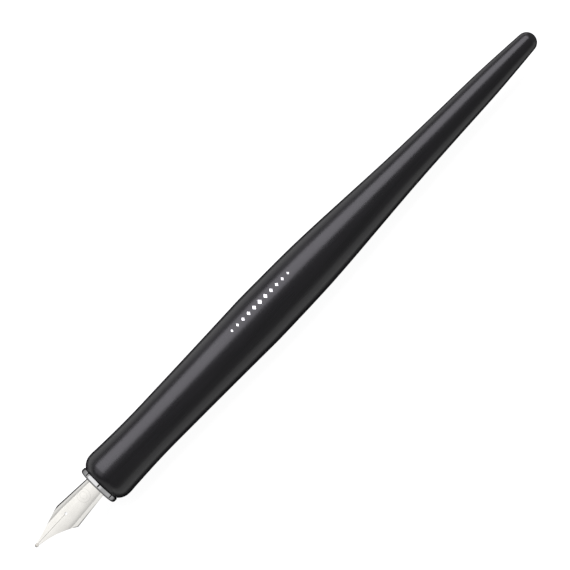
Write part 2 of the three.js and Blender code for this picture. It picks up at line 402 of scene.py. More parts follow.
class Coat(TreeBuilder):
    """A material's tree while a finish is laid on it."""

    def __init__(self, material: bpy.types.Material, finish: "Finish", library: ShaderLibrary) -> None:
        """Empties the material's tree and puts a plain surface in it.

        Args:
            material: The new material.
            finish: The finish that is laid on.
            library: The shared shader groups.
        """
        material.use_nodes = True
        material.node_tree.nodes.clear()
        super().__init__(material.node_tree)
        self.colour = finish.colour
        self.roughness = finish.roughness
        self.library = library
        self.surface = self.add("ShaderNodeBsdfPrincipled")
        self.surface.inputs["Base Color"].default_value = (*finish.colour, 1.0)
        self.surface.inputs["Roughness"].default_value = finish.roughness

    def lengthwise_mask(self, **sizes: float) -> bpy.types.NodeSocket:
        """Places the marks that run along the pen.

        Args:
            **sizes: Values of the group's inputs, with _ for a space.

        Returns:
            The mask's socket.
        """
        values = {name.replace("_", " "): value for name, value in sizes.items()}
        return self.add_group(self.library.lengthwise, values).outputs["Mask"]

    def smudge_mask(self, scale: float) -> bpy.types.NodeSocket:
        """Places the smudges.

        Args:
            scale: How many smudges lie along a metre.

        Returns:
            The mask's socket.
        """
        return self.add_group(self.library.smudges, {"Scale": scale}).outputs["Mask"]

    def speckle(self, scale: float, detail: float) -> bpy.types.NodeSocket:
        """Places a fine grain that is alike in all directions.

        Args:
            scale: How many grains lie along a metre.
            detail: How much finer detail it has.

        Returns:
            The grain's socket, 0 to 1.
        """
        place = self.add("ShaderNodeTexCoord").outputs["Object"]
        noise = self.add("ShaderNodeTexNoise", {"Vector": place, "Scale": scale, "Detail": detail})
        return noise.outputs["Fac"]

    def tint(self, mask: bpy.types.NodeSocket, low: float, high: float) -> bpy.types.NodeSocket:
        """Makes the main colour darker or lighter by a mask.

        Args:
            mask: Mask socket, 0 to 1.
            low: Factor on the colour where the mask is 0.
            high: Factor on the colour where the mask is 1.

        Returns:
            The colour's socket.
        """
        node = self.add("ShaderNodeMix", data_type="RGBA")
        self.link(mask, node, "Factor")
        for socket, factor in ((MIX_COLOUR_A, low), (MIX_COLOUR_B, high)):
            node.inputs[socket].default_value = (*(channel * factor for channel in self.colour), 1.0)
        return node.outputs[MIX_RESULT]

    def paint(self, colour: bpy.types.NodeSocket) -> None:
        """Gives the surface its colour."""
        self.link(colour, self.surface, "Base Color")

    def vary_roughness(
        self,
        mask: bpy.types.NodeSocket,
        change: tuple[float, float],
        smudges: bpy.types.NodeSocket | None = None,
        smudge_roughness: float = 0.0,
    ) -> None:
        """Makes the roughness follow a mask, and adds smudges.

        Args:
            mask: Mask socket, 0 to 1.
            change: What the mask adds to the middle roughness at 0 and at 1.
            smudges: Mask of the smudges, or None for none.
            smudge_roughness: Roughness that they add.
        """
        low, high = change
        rough = self.between(mask, 0.0, 1.0, self.roughness + low, self.roughness + high)
        if smudges is not None:
            rough = self.math("ADD", rough, self.between(smudges, 0.0, 1.0, 0.0, smudge_roughness))
        self.link(rough, self.surface, "Roughness")

    def raise_surface(self, height: bpy.types.NodeSocket, distance: float, strength: float) -> None:
        """Turns a height mask into small relief.

        Args:
            height: Height socket.
            distance: Depth of the relief in metres.
            strength: Share of it that shows.
        """
        bump = self.add("ShaderNodeBump", {"Height": height, "Distance": distance, "Strength": strength})
        self.link(bump.outputs["Normal"], self.surface, "Normal")


@dataclass(frozen=True)
class Finish:
    """What every finish has: a plain surface that a subclass gives its detail.

    Attributes:
        name: Name of the material.
        colour: Main colour, linear RGB.
        roughness: Middle roughness.
    """

    name: str
    colour: tuple[float, float, float]
    roughness: float

    def material(self, library: ShaderLibrary) -> bpy.types.Material:
        """Makes the material.

        Args:
            library: The shared shader groups.

        Returns:
            A new material with its node tree.
        """
        made = bpy.data.materials.new(self.name)
        coat = Coat(made, self, library)
        self.dress(coat)
        coat.add("ShaderNodeOutputMaterial", {"Surface": coat.surface.outputs["BSDF"]})
        made.diffuse_color = (*self.colour, 1.0)
        return made

    def dress(self, coat: Coat) -> None:
        """Adds the finish's own detail. A plain finish has none."""


@dataclass(frozen=True)
class LacqueredWood(Finish):
    """Fine-grained wood under black lacquer: the grain shows as faint relief and streaks.

    Attributes:
        name: Name of the material.
        colour: Colour of the lacquer.
        roughness: Middle roughness of the lacquer.
        index: Index of refraction of the thin lacquer.
        streak_tones: Factors on the colour in the darkest and the palest streaks.
        smudge_roughness: Roughness that smudges add.
        figure_height: Height of the wood's figure, as a share of the pores' depth.
        relief: Depth of the pores.
    """

    name: str = "black_lacquered_wood"
    colour: tuple[float, float, float] = (0.0036, 0.0034, 0.0040)
    roughness: float = 0.27
    index: float = 1.33
    streak_tones: tuple[float, float] = (0.75, 1.35)
    smudge_roughness: float = 0.02
    figure_height: float = 0.6
    relief: float = 0.006 * MM

    def dress(self, coat: Coat) -> None:
        """Adds grain, pores and handling marks.

        Args:
            coat: The material's tree.
        """
        coat.surface.inputs["IOR"].default_value = self.index
        figure = coat.lengthwise_mask(Across_Scale=700.0, Length_Ratio=0.08, Detail=3.0, Low=0.3, High=0.7)
        pores = coat.lengthwise_mask(Across_Scale=5200.0, Length_Ratio=0.05, Detail=2.0, Low=0.62, High=0.75)
        smudges = coat.smudge_mask(90.0)
        coat.paint(coat.tint(figure, *self.streak_tones))
        coat.vary_roughness(figure, (-0.015, 0.02), smudges, self.smudge_roughness)
        sunken = coat.math("MULTIPLY", pores, -1.0)
        waves = coat.math("MULTIPLY_ADD", figure, self.figure_height, sunken)
        coat.raise_surface(waves, self.relief, strength=0.5)


@dataclass(frozen=True)
class PolishedMetal(Finish):
    """Bright metal with fine polishing lines along the pen and faint smudges.

    Attributes:
        name: Name of the material.
        colour: Reflected colour.
        roughness: Middle roughness.
        line_depth: Depth of the polishing lines in millimetres.
        tone: Name of the attribute that darkens the metal, or empty for none: oxide and painted shade.
        oxide_and_shade: Colour of oxide in engraved hollows and of painted shade at edges.
        smudge_tone: Factor on the colour under a smudge.
        smudge_roughness: Roughness that smudges add.
    """

    name: str = "polished_steel"
    colour: tuple[float, float, float] = (0.87, 0.855, 0.82)
    roughness: float = 0.12
    line_depth: float = 0.0012
    tone: str = ""
    oxide_and_shade: tuple[float, float, float] = (0.06, 0.055, 0.05)
    smudge_tone: float = 0.93
    smudge_roughness: float = 0.05

    def dress(self, coat: Coat) -> None:
        """Adds polishing lines and smudges.

        Args:
            coat: The material's tree.
        """
        coat.surface.inputs["Metallic"].default_value = 1.0
        lines = coat.lengthwise_mask(Across_Scale=16000.0, Length_Ratio=0.03, Detail=2.0, Low=0.3, High=0.7)
        smudges = coat.smudge_mask(350.0)
        colour = coat.tint(smudges, 1.0, self.smudge_tone)
        if self.tone:
            # Oxide in engraved hollows and painted shade at the nib's edges, read from the stored tone.
            colour = self._darken_by_oxide_and_shade(coat, colour)
        coat.paint(colour)
        coat.vary_roughness(lines, (-0.02, 0.03), smudges, self.smudge_roughness)
        coat.raise_surface(lines, self.line_depth * MM, strength=0.4)

    def _darken_by_oxide_and_shade(self, coat: Coat, colour: bpy.types.NodeSocket) -> bpy.types.NodeSocket:
        """Mixes in the dark colour: oxide in the ovals, painted shade at the border line, slit and hole.

        Args:
            coat: The material's tree.
            colour: The clean metal's colour.

        Returns:
            The colour with dark lines.
        """
        stored = coat.add("ShaderNodeAttribute", attribute_name=self.tone)
        mixed = coat.add("ShaderNodeMix", data_type="RGBA")
        coat.link(stored.outputs["Fac"], mixed, "Factor")
        coat.link(colour, mixed, MIX_COLOUR_A)
        mixed.inputs[MIX_COLOUR_B].default_value = (*self.oxide_and_shade, 1.0)
        return mixed.outputs[MIX_RESULT]


@dataclass(frozen=True)
class GroundAlloy(Finish):
    """Hard alloy of the writing point, ground smooth on a wheel, with a fine grainy texture.

    Attributes:
        name: Name of the material.
        colour: Reflected colour.
        roughness: Middle roughness.
        grain_tones: Factors on the colour in the darkest and the palest grains.
        relief: Height of the grains.
    """

    name: str = "ground_hard_alloy"
    colour: tuple[float, float, float] = (0.84, 0.81, 0.76)
    roughness: float = 0.46
    grain_tones: tuple[float, float] = (0.8, 1.2)
    relief: float = 0.002 * MM

    def dress(self, coat: Coat) -> None:
        """Adds the alloy's grains and the marks of the grinding wheel.

        Args:
            coat: The material's tree.
        """
        coat.surface.inputs["Metallic"].default_value = 1.0
        grains = coat.speckle(26000.0, 2.0)
        wheel = coat.lengthwise_mask(Across_Scale=30000.0, Length_Ratio=0.2, Detail=1.0, Low=0.35, High=0.65)
        coat.paint(coat.tint(grains, *self.grain_tones))
        coat.vary_roughness(wheel, (-0.06, 0.06))
        coat.raise_surface(grains, self.relief, strength=0.4)


@dataclass(frozen=True)
class MouldedPlastic(Finish):
    """Dark moulded plastic with a fine spark-eroded texture.

    Attributes:
        name: Name of the material.
        colour: Colour of the plastic.
        roughness: Middle roughness.
        skin_tones: Factors on the colour in the darkest and the palest spots of the moulded skin.
        relief: Height of the moulded skin.
    """

    name: str = "dark_moulded_plastic"
    colour: tuple[float, float, float] = (0.014, 0.014, 0.015)
    roughness: float = 0.42
    skin_tones: tuple[float, float] = (0.85, 1.15)
    relief: float = 0.004 * MM

    def dress(self, coat: Coat) -> None:
        """Adds the moulded texture.

        Args:
            coat: The material's tree.
        """
        smudges = coat.smudge_mask(400.0)
        skin = coat.speckle(9000.0, 3.0)
        coat.vary_roughness(smudges, (-0.05, 0.05))
        coat.paint(coat.tint(skin, *self.skin_tones))
        coat.raise_surface(skin, self.relief, strength=0.5)


@dataclass(frozen=True)
class ClearPlastic(Finish):
    """Clear, colourless moulded plastic with very faint flow marks.

    Attributes:
        name: Name of the material.
        colour: Tint of the plastic.
        roughness: Middle roughness.
        index: Index of refraction.
    """

    name: str = "clear_moulded_plastic"
    colour: tuple[float, float, float] = (0.97, 0.975, 0.98)
    roughness: float = 0.09
    index: float = 1.49

    def dress(self, coat: Coat) -> None:
        """Makes the plastic clear and adds flow marks.

        Args:
            coat: The material's tree.
        """
        coat.surface.inputs["Transmission Weight"].default_value = 1.0
        coat.surface.inputs["IOR"].default_value = self.index
        flow = coat.lengthwise_mask(Across_Scale=900.0, Length_Ratio=0.4, Detail=2.0, Low=0.3, High=0.7)
        coat.vary_roughness(flow, (-0.03, 0.05))


@dataclass(frozen=True)
class PadPrint(Finish):
    """White print with the slightly uneven edge and cover of a pad print.

    Attributes:
        name: Name of the material.
        colour: Colour of the ink.
        roughness: Middle roughness.
        thin_tone: Factor on the colour where the ink is thin.
    """

    name: str = "white_pad_print"
    colour: tuple[float, float, float] = (0.88, 0.88, 0.88)
    roughness: float = 0.5
    thin_tone: float = 0.86

    def dress(self, coat: Coat) -> None:
        """Makes the ink's cover vary a little.

        Args:
            coat: The material's tree.
        """
        cover = coat.lengthwise_mask(Across_Scale=6000.0, Length_Ratio=0.9, Detail=2.0, Low=0.25, High=0.6)
        coat.paint(coat.tint(cover, self.thin_tone, 1.0))
        coat.vary_roughness(cover, (0.1, 0.0))


class Slot(Enum):
    """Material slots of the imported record, by the pen's own words."""

    LACQUER = "lacquered_wood"
    TRIM = "bright_trim"
    SOCKET = "dark_plastic"
    FEED = "clear_plastic"
    NIB = "polished_steel"
    POINT = "hard_alloy"


class Body(Enum):
    """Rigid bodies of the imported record."""

    HOLDER = "holder"
    FEED = "feed"
    NIB = "nib"


# ------------------------------------------------------------------------------------------------
# Mesh tools
# ------------------------------------------------------------------------------------------------


def linked_object(name: str, mesh: bpy.types.Mesh) -> bpy.types.Object:
    """Puts a mesh into the scene as an object at the origin.

    Args:
        name: Name of the object.
        mesh: Its mesh.

    Returns:
        The new object.
    """
    made = bpy.data.objects.new(name, mesh)
    bpy.context.scene.collection.objects.link(made)
    return made


def mesh_from(name: str, build: Callable[[bmesh.types.BMesh], None]) -> bpy.types.Mesh:
    """Makes a mesh with a bmesh function.

    Args:
        name: Name of the mesh.
        build: Function that fills the empty bmesh.

    Returns:
        The mesh.
    """
    shape = bmesh.new()
    build(shape)
    mesh = bpy.data.meshes.new(name)
    shape.to_mesh(mesh)
    shape.free()
    return mesh


def settle(piece: bpy.types.Object) -> bpy.types.Object:
    """Applies a piece's modifiers, so that it is a plain mesh at the origin.

    Args:
        piece: The piece, with its modifiers live.

    Returns:
        The same object with its evaluated mesh.
    """
    bpy.context.view_layer.update()
    graph = bpy.context.evaluated_depsgraph_get()
    plain = bpy.data.meshes.new_from_object(
        piece.evaluated_get(graph), preserve_all_data_layers=True, depsgraph=graph
    )
    plain.name = piece.name
    piece.modifiers.clear()
    piece.data = plain
    return piece


def face_outwards(piece: bpy.types.Object, merge: float = DOUBLES) -> None:
    """Merges doubles of a closed piece and turns its faces outwards.

    Args:
        piece: The piece.
        merge: Distance under which two vertices are one.
    """
    shape = bmesh.new()
    shape.from_mesh(piece.data)
    bmesh.ops.remove_doubles(shape, verts=shape.verts, dist=merge)
    bmesh.ops.dissolve_degenerate(shape, edges=shape.edges, dist=merge)
    bmesh.ops.recalc_face_normals(shape, faces=shape.faces)
    if shape.calc_volume(signed=True) < 0:
        bmesh.ops.reverse_faces(shape, faces=shape.faces)
    shape.to_mesh(piece.data)
    shape.free()


def smooth_shading(piece: bpy.types.Object, sharp_angle: float = 40.0) -> None:
    """Shades a piece smooth apart from its sharp edges.

    Args:
        piece: The piece.
        sharp_angle: Angle in degrees past which an edge is sharp.
    """
    for polygon in piece.data.polygons:
        polygon.use_smooth = True
    piece.data.set_sharp_from_angle(angle=math.radians(sharp_angle))


def soften_edges(piece: bpy.types.Object, width: float, segments: int = 3, angle: float = 50.0) -> None:
    """Rounds a piece's sharp edges with a bevel, which stays live until settle().

    Args:
        piece: The piece.
        width: Width of the bevel in metres.
        segments: Facets across the bevel.
        angle: Angle in degrees past which an edge is rounded.
    """
    bevel = piece.modifiers.new("soft_edges", "BEVEL")
    bevel.width = width
    bevel.segments = segments
    bevel.limit_method = "ANGLE"
    bevel.angle_limit = math.radians(angle)
    bevel.harden_normals = False


def cut_away(piece: bpy.types.Object, cutter: bpy.types.Object) -> None:
    """Cuts a closed shape out of a piece and removes the cutter.

    Args:
        piece: The piece that is cut.
        cutter: The closed shape that is taken away.
    """
    cut = piece.modifiers.new("cut", "BOOLEAN")
    cut.operation = "DIFFERENCE"
    cut.solver = "EXACT"
    cut.object = cutter
    settle(piece)
    bpy.data.objects.remove(cutter)


def dress(piece: bpy.types.Object, material: bpy.types.Material) -> None:
    """Gives every face of a piece one material.

    Args:
        piece: The piece.
        material: Its finish.
    """
    piece.data.materials.clear()
    piece.data.materials.append(material)
    for polygon in piece.data.polygons:
        polygon.material_index = 0


def report(piece: bpy.types.Object) -> None:
    """Logs a finished piece's name and number of faces."""
    LOG.info("%s: %d faces", piece.name, len(piece.data.polygons))


def add_tree(piece: bpy.types.Object, tree: bpy.types.NodeTree, values: dict[str, object]) -> None:
    """Gives a piece a Geometry Nodes modifier, which stays live until settle().

    Args:
        piece: The piece.
        tree: The geometry tree.
        values: Visible input name to value.
    """
    modifier = piece.modifiers.new(tree.name, "NODES")
    modifier.node_group = tree
    identifiers = {
        item.name: item.identifier
        for item in tree.interface.items_tree
        if item.item_type == "SOCKET" and item.in_out == "INPUT"
    }
    for name, value in values.items():
        modifier[identifiers[name]] = value


# ------------------------------------------------------------------------------------------------
# Geometry node trees
# ------------------------------------------------------------------------------------------------


def turning_tree() -> bpy.types.NodeTree:
    """Makes the tree that turns an outline about the pen's axis.

    The input mesh holds the outline's points in order, each at (along, 0, radius).

    Returns:
        The geometry tree.
    """
    tree = bpy.data.node_groups.new("turned_piece", "GeometryNodeTree")
    inputs = {
        "Outline": Kind.SHAPE,
        "Points": 8,
        "Sides": 96,
        "Axis Height": 0.0,
        "Material": Kind.MATERIAL,
    }
    declare_sockets(tree, inputs, {"Geometry": Kind.SHAPE})
    build = TreeBuilder(tree)
    given = build.add("NodeGroupInput")
    round_count = build.math("ADD", given.outputs["Sides"], 1.0)
    grid = build.add(
        "GeometryNodeMeshGrid",
        {"Vertices X": round_count, "Vertices Y": given.outputs["Points"]},
    )
    index = build.add("GeometryNodeInputIndex").outputs[0]
    station = build.math("MODULO", index, given.outputs["Points"])
    turn = build.math("FLOOR", build.math("DIVIDE", index, given.outputs["Points"]))
    angle = build.math("MULTIPLY", build.math("DIVIDE", turn, given.outputs["Sides"]), math.tau)
    place = build.add("GeometryNodeInputPosition").outputs[0]
    sample = build.add(
        "GeometryNodeSampleIndex",
        {"Geometry": given.outputs["Outline"], "Index": station},
        data_type="FLOAT_VECTOR",
        domain="POINT",
    )
    build.link(place, sample, "Value")
    parts = build.add("ShaderNodeSeparateXYZ", {0: sample.outputs["Value"]})
    across = build.math("MULTIPLY", parts.outputs[2], build.math("SINE", angle))
    up = build.math("MULTIPLY", parts.outputs[2], build.math("COSINE", angle))
    height = build.math("ADD", up, given.outputs["Axis Height"])
    spun = build.add("ShaderNodeCombineXYZ", {0: parts.outputs[0], 1: across, 2: height})
    moved = build.add(
        "GeometryNodeSetPosition", {"Geometry": grid.outputs["Mesh"], "Position": spun.outputs[0]}
    )
    merged = build.add("GeometryNodeMergeByDistance", {"Geometry": moved.outputs[0], "Distance": DOUBLES})
    build.finish_shape(merged.outputs[0], given.outputs["Material"])
    return tree


def comb_tree() -> bpy.types.NodeTree:
    """Makes the tree that adds a comb of round fins to the feed's core.

    Each fin is a disc across the pen. The fins shrink and rise from the back to the front.

    Returns:
        The geometry tree.
    """
    tree = bpy.data.node_groups.new("feed_comb", "GeometryNodeTree")
    inputs = {
        "Core": Kind.SHAPE,
        "Count": 10,
        "First": 0.0,
        "Pitch": 0.001,
        "Thickness": 0.0004,
        "Half Width": 0.002,
        "Front Width": 0.8,
        "Front Bottom": 0.0,
        "Back Bottom": 0.0,
        "Top": 0.0,
        "Material": Kind.MATERIAL,
    }
    declare_sockets(tree, inputs, {"Geometry": Kind.SHAPE})
    build = TreeBuilder(tree)
    given = build.add("NodeGroupInput")
    start = build.add("ShaderNodeCombineXYZ", {0: given.outputs["First"]})
    step = build.add("ShaderNodeCombineXYZ", {0: given.outputs["Pitch"]})
    row = build.add(
        "GeometryNodeMeshLine",
        {"Count": given.outputs["Count"], "Start Location": start.outputs[0], "Offset": step.outputs[0]},
    )
    index = build.add("GeometryNodeInputIndex").outputs[0]
    last = build.math("SUBTRACT", given.outputs["Count"], 1.0)
    share = build.math("DIVIDE", index, last)
    eased = build.math("SINE", build.math("MULTIPLY", share, math.pi / 2))
    drop = build.math("SUBTRACT", given.outputs["Back Bottom"], given.outputs["Front Bottom"])
    bottom = build.math("MULTIPLY_ADD", eased, drop, given.outputs["Front Bottom"])
    half_height = build.math("MULTIPLY", build.math("SUBTRACT", given.outputs["Top"], bottom), 0.5)
    middle = build.math("ADD", bottom, half_height)
    lift = build.add("ShaderNodeCombineXYZ", {2: middle})
    line = row.outputs["Mesh"]
    raised = build.add("GeometryNodeSetPosition", {"Geometry": line, "Offset": lift.outputs[0]})
    narrowing = build.between(share, 0.0, FULL_WIDTH_FROM, given.outputs["Front Width"], 1.0)
    half_width = build.math("MULTIPLY", given.outputs["Half Width"], narrowing)
    scale = build.add(
        "ShaderNodeCombineXYZ", {0: given.outputs["Thickness"], 1: half_width, 2: half_height}
    )
    disc = build.add("GeometryNodeMeshCylinder", {"Vertices": FIN_SIDES, "Radius": 1.0, "Depth": 1.0})
    upright = build.add(
        "GeometryNodeTransform",
        {"Geometry": disc.outputs["Mesh"], "Rotation": (0.0, math.pi / 2, 0.0)},
    )
    fins = build.add(
        "GeometryNodeInstanceOnPoints",
        {"Points": raised.outputs[0], "Instance": upright.outputs[0], "Scale": scale.outputs[0]},
    )
    realized = build.add("GeometryNodeRealizeInstances", {"Geometry": fins.outputs[0]})
    union = build.add("GeometryNodeMeshBoolean", operation="UNION", solver="EXACT")
    build.link(given.outputs["Core"], union, "Mesh 2")
    build.link(realized.outputs[0], union, "Mesh 2")
    build.finish_shape(union.outputs["Mesh"], given.outputs["Material"])
    return tree


def diamond_row_tree() -> bpy.types.NodeTree:
    """Makes the tree that lays out a flat row of diamonds, evenly spaced and smaller towards both ends.

    The row lies in the XY plane, starts at the origin and runs along +X.

    Returns:
        The geometry tree.
    """
    tree = bpy.data.node_groups.new("diamond_row", "GeometryNodeTree")
    inputs = {
        "Start": Kind.SHAPE,
        "Count": 9,
        "Pitch": 0.002,
        "Length": 0.0012,
        "Height": 0.0012,
        "End Size": 0.5,
        "Material": Kind.MATERIAL,
    }
    declare_sockets(tree, inputs, {"Geometry": Kind.SHAPE})
    build = TreeBuilder(tree)
    given = build.add("NodeGroupInput")
    step = build.add("ShaderNodeCombineXYZ", {0: given.outputs["Pitch"]})
    row = build.add("GeometryNodeMeshLine", {"Count": given.outputs["Count"], "Offset": step.outputs[0]})
    index = build.add("GeometryNodeInputIndex").outputs[0]
    last = build.math("SUBTRACT", given.outputs["Count"], 1.0)
    centred = build.math("SUBTRACT", build.math("DIVIDE", index, last), 0.5)
    from_middle = build.math("MULTIPLY", build.math("ABSOLUTE", centred), 2.0)
    shrink = build.math("SUBTRACT", 1.0, given.outputs["End Size"])
    size = build.math("SUBTRACT", 1.0, build.math("MULTIPLY", from_middle, shrink))
    length = build.math("MULTIPLY", given.outputs["Length"], size)
    height = build.math("MULTIPLY", given.outputs["Height"], size)
    scale = build.add("ShaderNodeCombineXYZ", {0: length, 1: height, 2: 1.0})
    tile = build.add(
        "GeometryNodeMeshGrid",
        {"Size X": 1.0, "Size Y": 1.0, "Vertices X": TILE_POINTS, "Vertices Y": TILE_POINTS},
    )
    place = build.add("GeometryNodeInputPosition").outputs[0]
    parts = build.add("ShaderNodeSeparateXYZ", {0: place})
    from_centre = build.math("ABSOLUTE", build.math("MULTIPLY", parts.outputs[0], 2.0))
    pinch = build.math("SUBTRACT", 1.0, from_centre)
    narrowed = build.math("MULTIPLY", parts.outputs[1], pinch)
    diamond = build.add("ShaderNodeCombineXYZ", {0: parts.outputs[0], 1: narrowed})
    shaped = build.add(
        "GeometryNodeSetPosition", {"Geometry": tile.outputs["Mesh"], "Position": diamond.outputs[0]}
    )
    tidy = build.add(
        "GeometryNodeMergeByDistance", {"Geometry": shaped.outputs[0], "Distance": TILE_DOUBLES}
    )
    marks = build.add(
        "GeometryNodeInstanceOnPoints",
        {"Points": row.outputs["Mesh"], "Instance": tidy.outputs[0], "Scale": scale.outputs[0]},
    )
    build.finish_shape(marks.outputs[0], given.outputs["Material"])
    return tree


class Workshop:
    """Shared means of making pieces: shader groups, node trees and the pen's layout."""

    def __init__(self, layout: PenLayout) -> None:
        """Builds the shared trees.

        Args:
            layout: Main places of the pen.
        """
        self.layout = layout
        self.shaders = ShaderLibrary()
        self.turning = turning_tree()
        self.comb = comb_tree()
        self.diamonds = diamond_row_tree()

    def turned(
        self, name: str, outline: Sequence[OutlinePoint], sides: int, material: bpy.types.Material
    ) -> bpy.types.Object:
        """Turns a closed outline, or one that starts and ends on the axis, into a piece.

        Args:
            name: Name of the piece.
            outline: Its (along, radius) points.
            sides: Facets round the axis.
            material: Its finish.

        Returns:
            The piece, a plain closed mesh.
        """
        mesh = bpy.data.meshes.new(name)
        mesh.from_pydata([(along, 0.0, radius) for along, radius in outline], [], [])
        piece = linked_object(name, mesh)
        values = {
            "Points": len(outline),
            "Sides": sides,
            "Axis Height": self.layout.axis_height,
            "Material": material,
        }
        add_tree(piece, self.turning, values)
        settle(piece)
        face_outwards(piece)
        smooth_shading(piece)
        return piece

    def diamond_row(self, name: str, values: dict[str, object]) -> bpy.types.Object:
        """Lays out a flat row of diamonds.

        Args:
            name: Name of the piece.
            values: Inputs of the diamond tree: name to value.

        Returns:
            The flat piece, at the origin.
        """
        mesh = bpy.data.meshes.new(name)
        mesh.from_pydata([(0.0, 0.0, 0.0)], [], [])
        piece = linked_object(name, mesh)
        add_tree(piece, self.diamonds, values)
        return settle(piece)


# ------------------------------------------------------------------------------------------------
# Holder
# ------------------------------------------------------------------------------------------------


@dataclass
class Holder:
    """The turned wooden holder and the small printed ornament on it.

    Attributes:
        workshop: Shared means.
        sides: Facets round the holder.
        finer: Steps between two of the model's stations.
        bore_radius: Radius of the bore for the socket.
        bore_depth: Depth of the bore behind the front face.
        mouth_round: Rounding of the bore's mouth.
        mark_from: Start of the ornament, behind the writing point.
        mark_angle: Place of the ornament round the holder, in degrees from the top towards +Y.
        mark_count: Diamonds in the ornament.
        mark_pitch: Distance between diamonds.
        mark_size: Length and height of the largest diamond.
        mark_end_size: Size of the end ones, as a share of the largest.
        ink_thickness: How far the print stands on the lacquer.
        ink_sink: Thickness of the whole print, part of it in the lacquer, as a multiple of that.
    """

    workshop: Workshop
    sides: int = 160
    finer: int = 7
    bore_radius: float = 4.05 * MM
    bore_depth: float = 13.65 * MM
    mouth_round: float = 0.08 * MM
    mark_from: float = 66.6 * MM
    mark_angle: float = 5.8
    mark_count: int = 11
    mark_pitch: float = 1.82 * MM
    mark_size: tuple[float, float] = (1.05 * MM, 1.4 * MM)
    mark_end_size: float = 0.55
    ink_thickness: float = 0.012 * MM
    ink_sink: float = 1.5

    def outline(self) -> list[OutlinePoint]:
        """Gives the outer outline, from the front face's edge to the tail's end."""
        stations = outer_outline("holder", self.workshop.layout.axis_height)
        return smooth_outline(stations, self.finer)

    def build(self) -> list[bpy.types.Object]:
        """Builds the holder and its ornament.

        Returns:
            The pieces, riding on the holder's body.
        """
        wood = LacqueredWood().material(self.workshop.shaders)
        outer = self.outline()
        front = outer[0][0]
        floor = front + self.bore_depth
        mouth = arc(
            (front + self.mouth_round, self.bore_radius + self.mouth_round), self.mouth_round, 270, 180, 4
        )
        bore = [(floor, 0.0), (floor, self.bore_radius)]
        holder = self.workshop.turned("holder_body", [*bore, *mouth, *outer], self.sides, wood)
        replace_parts(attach(holder, Body.HOLDER.value), "holder")
        report(holder)
        return [holder, self._ornament(outer)]

    def _ornament(self, outer: Sequence[OutlinePoint]) -> bpy.types.Object:
        """Prints the row of diamonds on the lacquer.

        Args:
            outer: The holder's outer outline.

        Returns:
            The print, a thin film that follows the holder.
        """
        ink = PadPrint().material(self.workshop.shaders)
        length, height = self.mark_size
        values = {
            "Count": self.mark_count,
            "Pitch": self.mark_pitch,
            "Length": length,
            "Height": height,
            "End Size": self.mark_end_size,
            "Material": ink,
        }
        film = self.workshop.diamond_row("printed_ornament", values)
        alongs = [along for along, _ in outer]
        radii = [radius for _, radius in outer]
        start = self.workshop.layout.at(self.mark_from)
        middle = math.radians(self.mark_angle)
        for vertex in film.data.vertices:
            along = start + vertex.co.x
            radius = float(np.interp(along, alongs, radii)) + self.ink_thickness
            angle = middle + vertex.co.y / radius
            vertex.co = (
                along,
                radius * math.sin(angle),
                self.workshop.layout.axis_height + radius * math.cos(angle),
            )
        self._thicken(film)
        dress(film, ink)
        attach(film, Body.HOLDER.value)
        report(film)
        return film

    def _thicken(self, film: bpy.types.Object) -> None:
        """Gives the flat print its thickness, down to the lacquer.

        Args:
            film: The print.
        """
        wall = film.modifiers.new("ink", "SOLIDIFY")
        wall.thickness = self.ink_thickness * self.ink_sink
        wall.offset = -1.0
        settle(film)
        face_outwards(film)
        smooth_shading(film, sharp_angle=30.0)


# ------------------------------------------------------------------------------------------------
# Front ring and socket
# ------------------------------------------------------------------------------------------------


